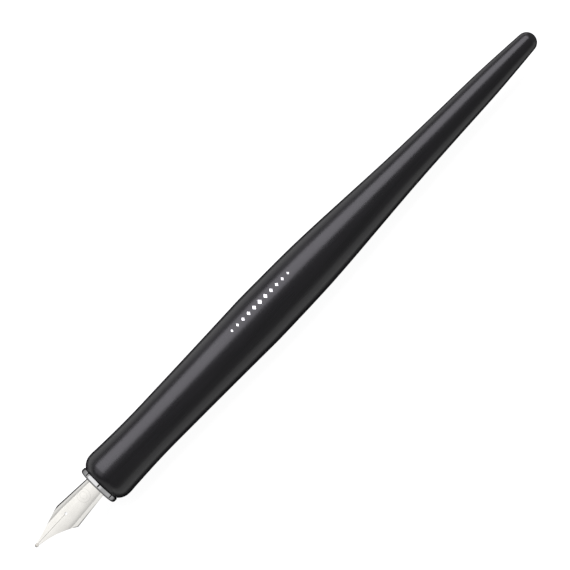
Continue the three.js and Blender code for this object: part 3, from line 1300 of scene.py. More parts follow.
@dataclass
class FrontRing:
    """The bright ring in front of the holder, with narrow notches evenly round its rear edge.

    Attributes:
        workshop: Shared means.
        sides: Facets round the ring.
        inner_radius: Radius of the ring's hole.
        front_lip: Rounding of its outer front edge.
        rear_lip: Rounding of its outer rear edge.
        inner_round: Rounding of its inner edges.
        notch_count: Number of notches.
        notch_width: Width of a notch.
        notch_length: Length of a notch from the rear edge.
        first_notch: Place of one notch, in degrees from the top towards -Y.
        edge_softness: Rounding of the notches' edges.
        cut_past: How far the notches' cutter stands out behind the ring, and over and under its wall.
    """

    workshop: Workshop
    sides: int = 192
    inner_radius: float = 4.05 * MM
    front_lip: float = 0.6 * MM
    rear_lip: float = 0.3 * MM
    inner_round: float = 0.12 * MM
    notch_count: int = 8
    notch_width: float = 0.34 * MM
    notch_length: float = 0.9 * MM
    first_notch: float = 18.5
    edge_softness: float = 0.03 * MM
    cut_past: tuple[float, float] = (0.5 * MM, 0.1 * MM)

    def build(self) -> bpy.types.Object:
        """Builds the ring.

        Returns:
            The ring, riding on the holder's body.
        """
        trim = PolishedMetal("bright_trim", (0.72, 0.72, 0.73), 0.1, 0.0006).material(
            self.workshop.shaders
        )
        low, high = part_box("front_ring")
        front, back = low.x, high.x
        radius = max(r for _, r in outer_outline("front_ring", self.workshop.layout.axis_height))
        inner = self.inner_radius + self.inner_round
        outline = [
            *arc((back - self.inner_round, inner), self.inner_round, 360, 270, 5),
            *arc((front + self.inner_round, inner), self.inner_round, 270, 180, 5),
            *arc((front + self.front_lip, radius - self.front_lip), self.front_lip, 180, 90, 12),
            *arc((back - self.rear_lip, radius - self.rear_lip), self.rear_lip, 90, 0, 8),
        ]
        outline.append(outline[0])
        ring = self.workshop.turned("trim_ring", outline, self.sides, trim)
        cut_away(ring, self._notches(back, radius))
        soften_edges(ring, self.edge_softness, segments=2, angle=45.0)
        settle(ring)
        face_outwards(ring)
        smooth_shading(ring, sharp_angle=35.0)
        dress(ring, trim)
        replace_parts(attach(ring, Body.HOLDER.value), "front_ring")
        report(ring)
        return ring

    def _notches(self, back: float, radius: float) -> bpy.types.Object:
        """Makes the blocks that are cut out of the ring.

        Args:
            back: X of the ring's rear face.
            radius: Outer radius of the ring.

        Returns:
            The cutter, all blocks in one object.
        """
        behind, beyond = self.cut_past
        length = self.notch_length + behind
        bottom = self.inner_radius - beyond
        top = radius + beyond

        def fill(shape: bmesh.types.BMesh) -> None:
            """Makes the blocks, each turned to its place round the axis.

            Args:
                shape: The empty bmesh.
            """
            lift = Matrix.Translation((0.0, 0.0, self.workshop.layout.axis_height))
            size = Matrix.Diagonal((length, self.notch_width, top - bottom, 1.0))
            up = Matrix.Translation((back + behind - length / 2, 0.0, 0.5 * (top + bottom)))
            for i in range(self.notch_count):
                angle = math.radians(self.first_notch) + math.tau * i / self.notch_count
                turn = Matrix.Rotation(angle, 4, "X")
                made = bmesh.ops.create_cube(shape, size=1.0)
                bmesh.ops.transform(shape, matrix=lift @ turn @ up @ size, verts=made["verts"])

        return linked_object("notch_cutter", mesh_from("notch_cutter", fill))


@dataclass
class NibSocket:
    """The sleeve in the holder's front end that grips the nib and the feed.

    Attributes:
        workshop: Shared means.
        sides: Facets round the sleeve.
        bore_radius: Radius of the hole for nib and feed.
        stop_radius: Radius of the hole through the rear stop.
        stop_length: Length of the rear stop.
        mouth_chamfer: Chamfer that leads the feed in.
    """

    workshop: Workshop
    sides: int = 128
    bore_radius: float = 3.05 * MM
    stop_radius: float = 2.2 * MM
    stop_length: float = 1.8 * MM
    mouth_chamfer: float = 0.15 * MM

    def build(self) -> bpy.types.Object:
        """Builds the sleeve.

        Returns:
            The sleeve, riding on the holder's body.
        """
        plastic = MouldedPlastic().material(self.workshop.shaders)
        low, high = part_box("nib_socket")
        front, back = low.x, high.x
        radius = max(r for _, r in outer_outline("nib_socket", self.workshop.layout.axis_height))
        stop = back - self.stop_length
        chamfer = self.mouth_chamfer
        outline = [
            (back, self.stop_radius),
            (stop, self.stop_radius),
            (stop, self.bore_radius),
            (front + chamfer, self.bore_radius),
            (front, self.bore_radius + chamfer),
            (front, radius - chamfer),
            (front + chamfer, radius),
            (back, radius),
            (back, self.stop_radius),
        ]
        sleeve = self.workshop.turned("socket_sleeve", outline, self.sides, plastic)
        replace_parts(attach(sleeve, Body.HOLDER.value), "nib_socket")
        report(sleeve)
        return sleeve


# ------------------------------------------------------------------------------------------------
# Nib
# ------------------------------------------------------------------------------------------------


@dataclass
class Nib:
    """The formed steel nib: two tines with a slit, a breather hole, shoulders and a long base.

    Every "at" is a distance behind the writing point.

    Attributes:
        workshop: Shared means.
        tines_at: Start of the tines, behind the hard ball.
        shoulder_at: The widest place.
        hole_at: Centre of the breather hole.
        socket_at: Where the section is down to its base radius.
        end_at: Rear end of the base.
        tip_half_width: Half width at the start of the tines.
        mid_half_width: Half width that steers the curve between tip and shoulder.
        base_radius: Outer radius of the base's section.
        shoulder_radius: Outer radius of the section at the shoulders.
        base_half_angle: Half angle of the base's section, in degrees.
        shoulder_half_angle: Half angle of the section at the shoulders, in degrees.
        tip_drop: How far the point bends down.
        thickness: Thickness of the sheet.
        slit_half_width: Half width of the slit at the hole; it closes towards the point.
        hole_radius: Radius of the breather hole.
        columns: Faces from the slit to the engraved border line.
        slit_at_point: Width of the slit at the point, as a share of its width at the hole.
        slit_edge: Width of the row of faces beside the slit.
        drop_power: Curve of the bend: 1 is a straight slope, more steepens to the point.
        ball_radius: Radius of the hard ball, where the bend ends.
        engraved_rows: Stretch along the nib that has close rows for the ovals.
        row_counts: Rows in each stretch: tines, shoulders, hole, body, engraving, collar and base.
        edge_round: Rounding of the sheet's edges.
        border_inset: Distance from a side edge to the middle of the border line.
        border_width: Width of the border line.
        border_depth: Depth of the border line.
        border_section: Border line's section: (offset in half widths, depth as a share) pairs.
        border_ends: Where the border line begins and where it has run out.
        border_fades: Lengths over which it deepens at its begin and runs out at its end.
        slit_shade: Painted shade along the edges of slit and hole, as a share of the border line's darkness.
        slit_shade_width: Width of the painted shade along the edges of slit and hole.
        oval_at: Centre of the engraved ovals.
        oval_sizes: Half length and half width of each engraved oval.
        oval_width: Width of the ovals' lines.
        oval_depth: Depth of the ovals' lines.
        oval_tone: Share of the border line's darkness that the ovals have.
    """

    workshop: Workshop
    tines_at: float = 0.88 * MM
    shoulder_at: float = 10.0 * MM
    hole_at: float = 10.4 * MM
    socket_at: float = 19.5 * MM
    end_at: float = 29.0 * MM
    tip_half_width: float = 0.38 * MM
    mid_half_width: float = 1.335 * MM
    base_radius: float = 3.0 * MM
    shoulder_radius: float = 3.9 * MM
    base_half_angle: float = 68.0
    shoulder_half_angle: float = 66.4
    tip_drop: float = 0.78 * MM
    thickness: float = 0.27 * MM
    slit_half_width: float = 0.034 * MM
    hole_radius: float = 0.33 * MM
    columns: int = 40
    slit_at_point: float = 0.35
    slit_edge: float = 0.07 * MM
    drop_power: float = 1.2
    ball_radius: float = 0.46 * MM
    engraved_rows: tuple[float, float] = (14.2 * MM, 18.0 * MM)
    row_counts: tuple[int, ...] = (60, 6, 25, 24, 48, 9, 24)
    edge_round: float = 0.035 * MM
    border_inset: float = 0.11 * MM
    border_width: float = 0.15 * MM
    border_depth: float = 0.03 * MM
    border_section: tuple[tuple[float, float], ...] = (
        (1.6, 0.0),
        (1.0, 0.15),
        (0.5, 0.8),
        (0.0, 1.0),
        (-0.5, 0.8),
        (-1.0, 0.15),
    )
    border_ends: tuple[float, float] = (9.0 * MM, 17.5 * MM)
    border_fades: tuple[float, float] = (0.5 * MM, 6.0 * MM)
    slit_shade: float = 0.4
    slit_shade_width: float = 0.06 * MM
    oval_at: float = 16.1 * MM
    oval_sizes: tuple[tuple[float, float], ...] = ((1.5 * MM, 1.75 * MM), (0.75 * MM, 1.0 * MM))
    oval_width: float = 0.22 * MM
    oval_depth: float = 0.015 * MM
    oval_tone: float = 0.16

    def spread(self, at: float) -> float:
        """How far the section has opened out: 0 at the socket, 1 from the shoulders forward."""
        share = (self.socket_at - at) / (self.socket_at - self.shoulder_at)
        return min(1.0, max(0.0, share))

    def radius(self, at: float) -> float:
        """Outer radius of the section at a place along the nib."""
        return self.base_radius + (self.shoulder_radius - self.base_radius) * self.spread(at)

    def top(self, at: float) -> float:
        """Gives the height of the top line over the pen's axis.

        Args:
            at: Distance behind the writing point.

        Returns:
            The height, which falls where the point bends down.
        """
        run = self.hole_at - self.ball_radius
        share = max(0.0, (self.hole_at - at) / run)
        return self.base_radius - self.tip_drop * share**self.drop_power

    def half_angle(self, at: float) -> float:
        """Gives the half angle of the section.

        Args:
            at: Distance behind the writing point.

        Returns:
            The angle from the middle to a side edge, in radians.
        """
        if at >= self.shoulder_at:
            base, shoulder = self.base_half_angle, self.shoulder_half_angle
            return math.radians(base + (shoulder - base) * self.spread(at))
        t = max(0.0, (at - self.tines_at) / (self.shoulder_at - self.tines_at))
        shoulder_half = self.shoulder_radius * math.sin(math.radians(self.shoulder_half_angle))
        half = (
            (1 - t) ** 2 * self.tip_half_width
            + 2 * t * (1 - t) * self.mid_half_width
            + t**2 * shoulder_half
        )
        return math.asin(half / self.radius(at))

    def inner_angle(self, at: float) -> float:
        """Gives the angle from the middle at which a tine begins.

        Args:
            at: Distance behind the writing point.

        Returns:
            The angle of the slit's or the hole's wall in radians, or 0 behind them.
        """
        if at > self.slit_end():
            return 0.0
        share = max(0.0, at - self.tines_at) / self.hole_at
        opening = self.slit_half_width * (self.slit_at_point + (1.0 - self.slit_at_point) * share)
        from_hole = at - self.hole_at
        if abs(from_hole) < self.hole_radius:
            opening = max(
                opening if from_hole < 0 else 0.0, math.sqrt(self.hole_radius**2 - from_hole**2)
            )
        return math.asin(opening / self.radius(at))

    def slit_end(self) -> float:
        """Where the slit and the breather hole end."""
        return self.hole_at + self.hole_radius

    def surface_point(self, at: float, angle: float, below: float = 0.0) -> Vector:
        """A point of the nib's top surface.

        Args:
            at: Distance behind the writing point.
            angle: Angle across the section, in radians.
            below: Depth under the surface.

        Returns:
            The point in the pen's frame.
        """
        radius = self.radius(at)
        centre = self.workshop.layout.axis_height + self.top(at) - radius
        reach = radius - below
        return Vector(
            (self.workshop.layout.at(at), reach * math.sin(angle), centre + reach * math.cos(angle))
        )

    def border_share(self, at: float) -> float:
        """Gives how deep the border line is at a place: it fades in and out at its ends.

        Args:
            at: Distance behind the writing point.

        Returns:
            The share of its full depth, from 0 to 1.
        """
        begin, end = self.border_ends
        deepens, runs_out = self.border_fades
        fade_in = min(1.0, max(0.0, (at - begin) / deepens))
        fade_out = min(1.0, max(0.0, (end - at) / runs_out))
        return fade_in * fade_out

    def oval_share(self, at: float, angle: float) -> float:
        """How deep the engraved ovals are at a point of the sheet, from 0 to 1.

        Args:
            at: Distance behind the writing point.
            angle: Angle from the middle across the section, in radians.

        Returns:
            1 in the middle of an engraved line and 0 beside it.
        """
        along = at - self.oval_at
        across = angle * self.radius(at)
        share = 0.0
        for half_length, half_width in self.oval_sizes:
            from_line = abs(math.hypot(along / half_length, across / half_width) - 1.0) * half_width
            share = max(share, 1.0 - from_line / (0.5 * self.oval_width))
        return max(0.0, share)

    def border_profile(self) -> list[tuple[float, float]]:
        """Gives the border line's section, from the plain sheet to the side edge.

        Returns:
            The (distance from the edge, depth as a share) pairs.
        """
        half = self.border_width / 2
        line = [(self.border_inset + offset * half, depth) for offset, depth in self.border_section]
        return [*line, (0.0, 0.0)]

    def rows(self) -> list[float]:
        """Gives the places of the rows of faces, close together at the breather hole.

        Returns:
            Distances behind the writing point, front to back.
        """
        front = self.hole_at - self.hole_radius
        back = self.hole_at + self.hole_radius
        close_from, close_to = self.engraved_rows
        tines, shoulders, hole, body, engraving, collar, base = self.row_counts
        stretches = [
            np.linspace(self.tines_at, self.shoulder_at - self.hole_radius, tines)[:-1],
            np.linspace(self.shoulder_at - self.hole_radius, front, shoulders)[:-1],
            [self.hole_at - self.hole_radius * math.cos(a) for a in np.linspace(0, math.pi, hole)],
            np.linspace(back, close_from, body)[1:-1],
            np.linspace(close_from, close_to, engraving)[:-1],
            np.linspace(close_to, self.socket_at, collar),
            np.linspace(self.socket_at, self.end_at, base)[1:],
        ]
        rows = sorted({round(float(at), 9) for stretch in stretches for at in stretch})
        return [at for at in rows if at <= self.end_at]

    def build(self) -> list[bpy.types.Object]:
        """Builds the nib with its engraved lines.

        Returns:
            The piece, riding on the nib's body.
        """
        # The stored tone paints oxide in the ovals and painted shade along the border line, slit and hole.
        steel = PolishedMetal(tone="oxide_and_shade_tone").material(self.workshop.shaders)
        nib = linked_object("nib_sheet", mesh_from("nib_sheet", self._blank))
        wall = nib.modifiers.new("sheet", "SOLIDIFY")
        wall.thickness = self.thickness
        wall.offset = -1.0
        wall.use_even_offset = True
        settle(nib)
        face_outwards(nib)
        soften_edges(nib, self.edge_round, angle=40.0)
        settle(nib)
        smooth_shading(nib, sharp_angle=60.0)
        self._mark_oxide_and_shade(nib)
        dress(nib, steel)
        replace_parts(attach(nib, Body.NIB.value), "nib")
        report(nib)
        return [nib]

    def _mark_oxide_and_shade(self, nib: bpy.types.Object) -> None:
        """Stores per corner point the ovals' oxide and the painted shade at the border line, slit and hole.

        Args:
            nib: The finished sheet.
        """
        # Tone per corner point: oxide in the engraved ovals, painted shade along the border line and at slit
        # and hole.
        tone = nib.data.attributes.new("oxide_and_shade_tone", "FLOAT", "POINT")
        for vertex, stored in zip(nib.data.vertices, tone.data):
            at = vertex.co.x - self.workshop.layout.point
            radius = self.radius(at)
            centre = self.workshop.layout.axis_height + self.top(at) - radius
            reach = math.hypot(vertex.co.y, vertex.co.z - centre)
            angle = math.atan2(abs(vertex.co.y), vertex.co.z - centre)
            from_edge = (self.half_angle(at) - angle) * radius
            off_line = abs(from_edge - self.border_inset) / self.border_width
            from_slit = (angle - self.inner_angle(at)) * radius / self.slit_shade_width
            # The border line is a real shallow groove; its dark colour is painted shade along the side
            # edges.
            border = min(1.0, max(0.0, 2.0 - 2.0 * off_line)) * self.border_share(at)
            # Painted shade along the edges of the slit and the breather hole, where the gap looks dark.
            slit = self.slit_shade * max(0.0, 1.0 - from_slit) if at < self.slit_end() else 0.0
            on_top = reach > radius - 0.5 * self.thickness
            ovals = self.oval_tone * self.oval_share(at, angle)
            stored.value = max(border, slit, ovals) if on_top else 0.0

    def _blank(self, shape: bmesh.types.BMesh) -> None:
        """Fills the outer surface of both tines and the body, as one open sheet.

        Args:
            shape: The empty bmesh.
        """
        rows = self.rows()
        border = self.border_profile()
        for side in (1.0, -1.0):
            grid: list[list[bmesh.types.BMVert]] = []
            for at in rows:
                inner = self.inner_angle(at)
                outer = self.half_angle(at)
                radius = self.radius(at)
                room = (outer - inner) * radius
                squeeze = min(1.0, 0.4 * room / border[0][0])
                plain_to = outer - border[0][0] * squeeze / radius
                start = inner + min(self.slit_edge, 0.2 * room) / radius
                run = plain_to - start
                angles = [inner, *(start + run * k / self.columns for k in range(self.columns))]
                stations = [(angle, self.oval_depth * self.oval_share(at, angle)) for angle in angles]
                stations += [
                    (outer - distance * squeeze / radius, depth * self.border_depth * self.border_share(at))
                    for distance, depth in border
                ]
                points = [self.surface_point(at, side * angle, depth) for angle, depth in stations]
                grid.append([shape.verts.new(point) for point in points])
            for near, far in zip(grid, grid[1:]):
                for k in range(len(near) - 1):
                    corners = [near[k], far[k], far[k + 1], near[k + 1]]
                    shape.faces.new(corners if side > 0 else corners[::-1])
        bmesh.ops.remove_doubles(shape, verts=shape.verts, dist=COARSE_DOUBLES)
        bmesh.ops.recalc_face_normals(shape, faces=shape.faces)
        layout = self.workshop.layout
        inside = Vector((layout.at(self.socket_at), 0.0, layout.axis_height))
        middle = min(shape.faces, key=lambda face: (face.calc_center_median() - inside).length)
        if middle.normal.z < 0:
            bmesh.ops.reverse_faces(shape, faces=shape.faces)


@dataclass
class WritingBall:
    """The hard-alloy ball at the point, split in two by the slit.

    Attributes:
        workshop: Shared means.
        neck_at: Where the neck ends, behind the writing point.
        gap: Half of the split.
        neck_lift: How far the neck rises to the tines, as a share of the ball's radius.
        neck_thinning: Share of its height that the neck loses.
    """

    workshop: Workshop
    neck_at: float = 1.02 * MM
    gap: float = 0.012 * MM
    neck_lift: float = 0.3
    neck_thinning: float = 0.35

    def build(self) -> list[bpy.types.Object]:
        """Builds both halves.

        Returns:
            The left and the right half, riding on the nib's body.
        """
        alloy = GroundAlloy().material(self.workshop.shaders)
        return [
            self._half("hard_point_left", "tipping_left", 1.0, alloy),
            self._half("hard_point_right", "tipping_right", -1.0, alloy),
        ]

    def _half(self, name: str, node: str, side: float, alloy: bpy.types.Material) -> bpy.types.Object:
        """Builds one half.

        Args:
            name: Name of the piece.
            node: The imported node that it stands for.
            side: +1 for the +Y half, -1 for the -Y half.
            alloy: Its finish.

        Returns:
            The half ball.
        """
        low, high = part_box(node)
        radius = 0.5 * (high.z - low.z)
        centre = Vector((low.x + radius, 0.0, 0.5 * (low.z + high.z)))
        neck = self.workshop.layout.at(self.neck_at)

        def fill(shape: bmesh.types.BMesh) -> None:
            """Makes a ball, draws its rear out into a neck and keeps one half.

            Args:
                shape: The empty bmesh.
            """
            bmesh.ops.create_uvsphere(shape, u_segments=48, v_segments=32, radius=radius)
            quarter_turn = Matrix.Rotation(math.pi / 2, 3, "Y")
            bmesh.ops.rotate(shape, cent=(0, 0, 0), matrix=quarter_turn, verts=shape.verts)
            for vertex in shape.verts:
                if vertex.co.x > 0:
                    share = vertex.co.x / radius
                    vertex.co.x = share * (neck - centre.x)
                    lift = share * share * self.neck_lift * radius
                    vertex.co.z = vertex.co.z * (1.0 - self.neck_thinning * share) + lift
            bmesh.ops.translate(shape, vec=centre, verts=shape.verts)
            everything = [*shape.verts, *shape.edges, *shape.faces]
            cut = bmesh.ops.bisect_plane(
                shape,
                geom=everything,
                plane_co=(0.0, side * self.gap, 0.0),
                plane_no=(0.0, -side, 0.0),
                clear_outer=True,
            )
            rim = [g for g in cut["geom_cut"] if isinstance(g, bmesh.types.BMEdge)]
            bmesh.ops.contextual_create(shape, geom=rim)

        half = linked_object(name, mesh_from(name, fill))
        face_outwards(half)
        smooth_shading(half, sharp_angle=50.0)
        dress(half, alloy)
        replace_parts(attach(half, Body.NIB.value), node)
        report(half)
        return half


# ------------------------------------------------------------------------------------------------
# Feed
# ------------------------------------------------------------------------------------------------


@dataclass
class Feed:
    """The clear ink feed under the nib: a core and a comb of fins.

    Attributes:
        workshop: Shared means.
        seat_radius: Radius where the nib lies on it.
        full_radius: Radius of its lower side in the socket.
        seat_half_angle: Half angle of the nib's seat, in degrees.
        nose_at: Front end, behind the writing point.
        core_half_width: Half width of the core between the fins.
        fin_half_width: Half width of the fins.
        fin_count: Number of fins.
        fin_first_at: Place of the first fin.
        fin_pitch: Distance from one fin to the next.
        fin_thickness: Thickness of a fin.
        fin_front_width: Width of the foremost fin, as a share of the full width.
        fin_bottoms: Heights of the foremost and the last fin's bottom over the pen's axis.
        fin_top: Height of the fins' tops over the pen's axis.
        tip_depth: Depth of the core at its front end.
        depth_growth: How much deeper it is at the socket.
        tip_width: Width of its front end, as a share of its full width.
        nib_gap: Gap under the nib.
        section_points: Points round the core.
        nose_rows: Rows of faces along the nose.
    """

    workshop: Workshop
    seat_radius: float = 2.67 * MM
    full_radius: float = 3.0 * MM
    seat_half_angle: float = 75.0
    nose_at: float = 6.6 * MM
    core_half_width: float = 1.15 * MM
    fin_half_width: float = 2.2 * MM
    fin_count: int = 11
    fin_first_at: float = 10.0 * MM
    fin_pitch: float = 0.85 * MM
    fin_thickness: float = 0.42 * MM
    fin_front_width: float = 0.8
    fin_bottoms: tuple[float, float] = (0.3 * MM, -2.4 * MM)
    fin_top: float = 1.9 * MM
    tip_depth: float = 0.35 * MM
    depth_growth: float = 2.9 * MM
    tip_width: float = 0.55
    nib_gap: float = 0.05 * MM
    section_points: int = 64
    nose_rows: int = 30

    def build(self, nib: Nib) -> bpy.types.Object:
        """Builds the feed.

        Args:
            nib: The nib that lies on it.

        Returns:
            The feed, riding on its own body.
        """
        plastic = ClearPlastic().material(self.workshop.shaders)
        _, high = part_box("feed")
        feed = linked_object("ink_feed", mesh_from("ink_feed", lambda s: self._core(s, nib, high.x)))
        face_outwards(feed)
        axis = self.workshop.layout.axis_height
        front_bottom, back_bottom = self.fin_bottoms
        values = {
            "Count": self.fin_count,
            "First": self.workshop.layout.at(self.fin_first_at),
            "Pitch": self.fin_pitch,
            "Thickness": self.fin_thickness,
            "Half Width": self.fin_half_width,
            "Front Width": self.fin_front_width,
            "Front Bottom": axis + front_bottom,
            "Back Bottom": axis + back_bottom,
            "Top": axis + self.fin_top,
            "Material": plastic,
        }
        add_tree(feed, self.workshop.comb, values)
        settle(feed)
        face_outwards(feed, COARSE_DOUBLES)
        smooth_shading(feed, sharp_angle=35.0)
        dress(feed, plastic)
        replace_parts(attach(feed, Body.FEED.value), "feed")
        report(feed)
        return feed

    def _section(self, at: float, nib: Nib) -> list[tuple[float, float]]:
        """Gives the core's section at a place, as (across, height over the axis) points.

        Args:
            at: Distance behind the writing point.
            nib: The nib that lies on the core.

        Returns:
            The section's points, counter-clockwise from the right.
        """
        in_socket = at >= nib.socket_at
        share = min(1.0, max(0.0, (at - self.nose_at) / (nib.socket_at - self.nose_at)))
        roof = min(self.seat_radius, nib.top(at) - nib.thickness - self.nib_gap)
        points = []
        for k in range(self.section_points):
            angle = math.tau * k / self.section_points
            across, up = math.cos(angle), math.sin(angle)
            if in_socket:
                from_top = abs(math.degrees(angle) - 90.0)
                radius = self.seat_radius if from_top < self.seat_half_angle else self.full_radius
                points.append((radius * across, radius * up))
                continue
            depth = self.tip_depth + self.depth_growth * math.sin(math.pi / 2 * share)
            middle = roof - depth / 2
            half = self.core_half_width * (self.tip_width + (1.0 - self.tip_width) * share)
            points.append((half * across, middle + depth / 2 * up))
        return points

    def _core(self, shape: bmesh.types.BMesh, nib: Nib, back: float) -> None:
        """Fills the core: a nose that grows under the tines and a round stub in the socket.

        Args:
            shape: The empty bmesh.
            nib: The nib that lies on it.
            back: X of the feed's rear end.
        """
        layout = self.workshop.layout
        end_at = back - layout.point
        nose = np.linspace(self.nose_at, nib.socket_at - STEP, self.nose_rows)
        places = [*nose, nib.socket_at, end_at]
        rings = []
        for at in places:
            section = self._section(float(at), nib)
            rings.append(
                [
                    shape.verts.new((layout.at(float(at)), across, layout.axis_height + up))
                    for across, up in section
                ]
            )
        for near, far in zip(rings, rings[1:]):
            count = len(near)
            for k in range(count):
                shape.faces.new([near[k], near[(k + 1) % count], far[(k + 1) % count], far[k]])
        shape.faces.new(rings[0][::-1])
        shape.faces.new(rings[-1])


# ------------------------------------------------------------------------------------------------
# Studio
# ------------------------------------------------------------------------------------------------


class Side(Enum):
    """Which way a softbox gets dimmer."""

    ALONG = 0
    ACROSS = 1


@dataclass(frozen=True)
class Softbox:
    """A large rectangular softbox that hangs over the pen, its long side parallel to the pen.

    Attributes:
        name: Name of the light.
        angle: Angle in degrees between the upright and the softbox, towards +Y.
        width: Width across the pen.
        radiance: Brightness of its bright end.
        length: Length along the pen.
        dims: Direction in which it gets dimmer.
        dim_to: Place, as a share of that side, up to which it is dim.
        bright_from: Place, as a share of that side, from which it is bright.
        dim_share: Brightness of the dim end, as a share of the bright one.
        reach: Distance from the pen.
        tint: Colour of its light.
        lights_floor: Whether it also shines on the floor.
        lean: Angle in degrees that it hangs forward of the pen, towards the nib.
    """

    name: str
    angle: float
    width: float
    radiance: float
    length: float = 1.9
    dims: Side = Side.ALONG
    dim_to: float = 0.1
    bright_from: float = 0.3
    dim_share: float = 1.0
    reach: float = 1.2
    tint: tuple[float, float, float] = (1.0, 1.0, 1.0)
    lights_floor: bool = False
    lean: float = 0.0

    def hang(self, receivers: Iterable[bpy.types.Object]) -> None:
        """Hangs the softbox and lets it shine on some pieces only.

        Args:
            receivers: The pieces that it lights.
        """
        light = bpy.data.lights.new(self.name, "AREA")
        light.shape = "RECTANGLE"
        light.size = self.length
        light.size_y = self.width
        light.color = self.tint
        light.energy = math.pi * self.length * self.width * self.radiance
        self._grade(light)
        lamp = bpy.data.objects.new(self.name, light)
        upright = Vector((0.0, math.sin(math.radians(self.angle)), math.cos(math.radians(self.angle))))
        forward = Vector((-1.0, 0.0, 0.0))
        lean = math.radians(self.lean)
        toward = upright * math.cos(lean) + forward * math.sin(lean)
        along = upright * math.sin(lean) - forward * math.cos(lean)
        turn = Matrix((along, toward.cross(along), toward)).transposed()
        lamp.matrix_world = Matrix.Translation(toward * self.reach) @ turn.to_4x4()
        lamp.visible_camera = False
        bpy.context.scene.collection.objects.link(lamp)
        lit = bpy.data.collections.new(self.name + "_receivers")
        for each in receivers:
            lit.objects.link(each)
        lamp.light_linking.receiver_collection = lit

    def _grade(self, light: bpy.types.Light) -> None:
        """Makes the softbox dimmer towards one of its ends.

        Args:
            light: The area light.
        """
        light.use_nodes = True
        light.node_tree.nodes.clear()
        build = TreeBuilder(light.node_tree)
        face = build.add("ShaderNodeNewGeometry").outputs["Parametric"]
        place = build.add("ShaderNodeSeparateXYZ", {0: face}).outputs[self.dims.value]
        strength = build.between(place, self.dim_to, self.bright_from, self.dim_share, 1.0)
        glow = build.add("ShaderNodeEmission", {"Strength": strength})
        build.add("ShaderNodeOutputLight", {"Surface": glow.outputs[0]})


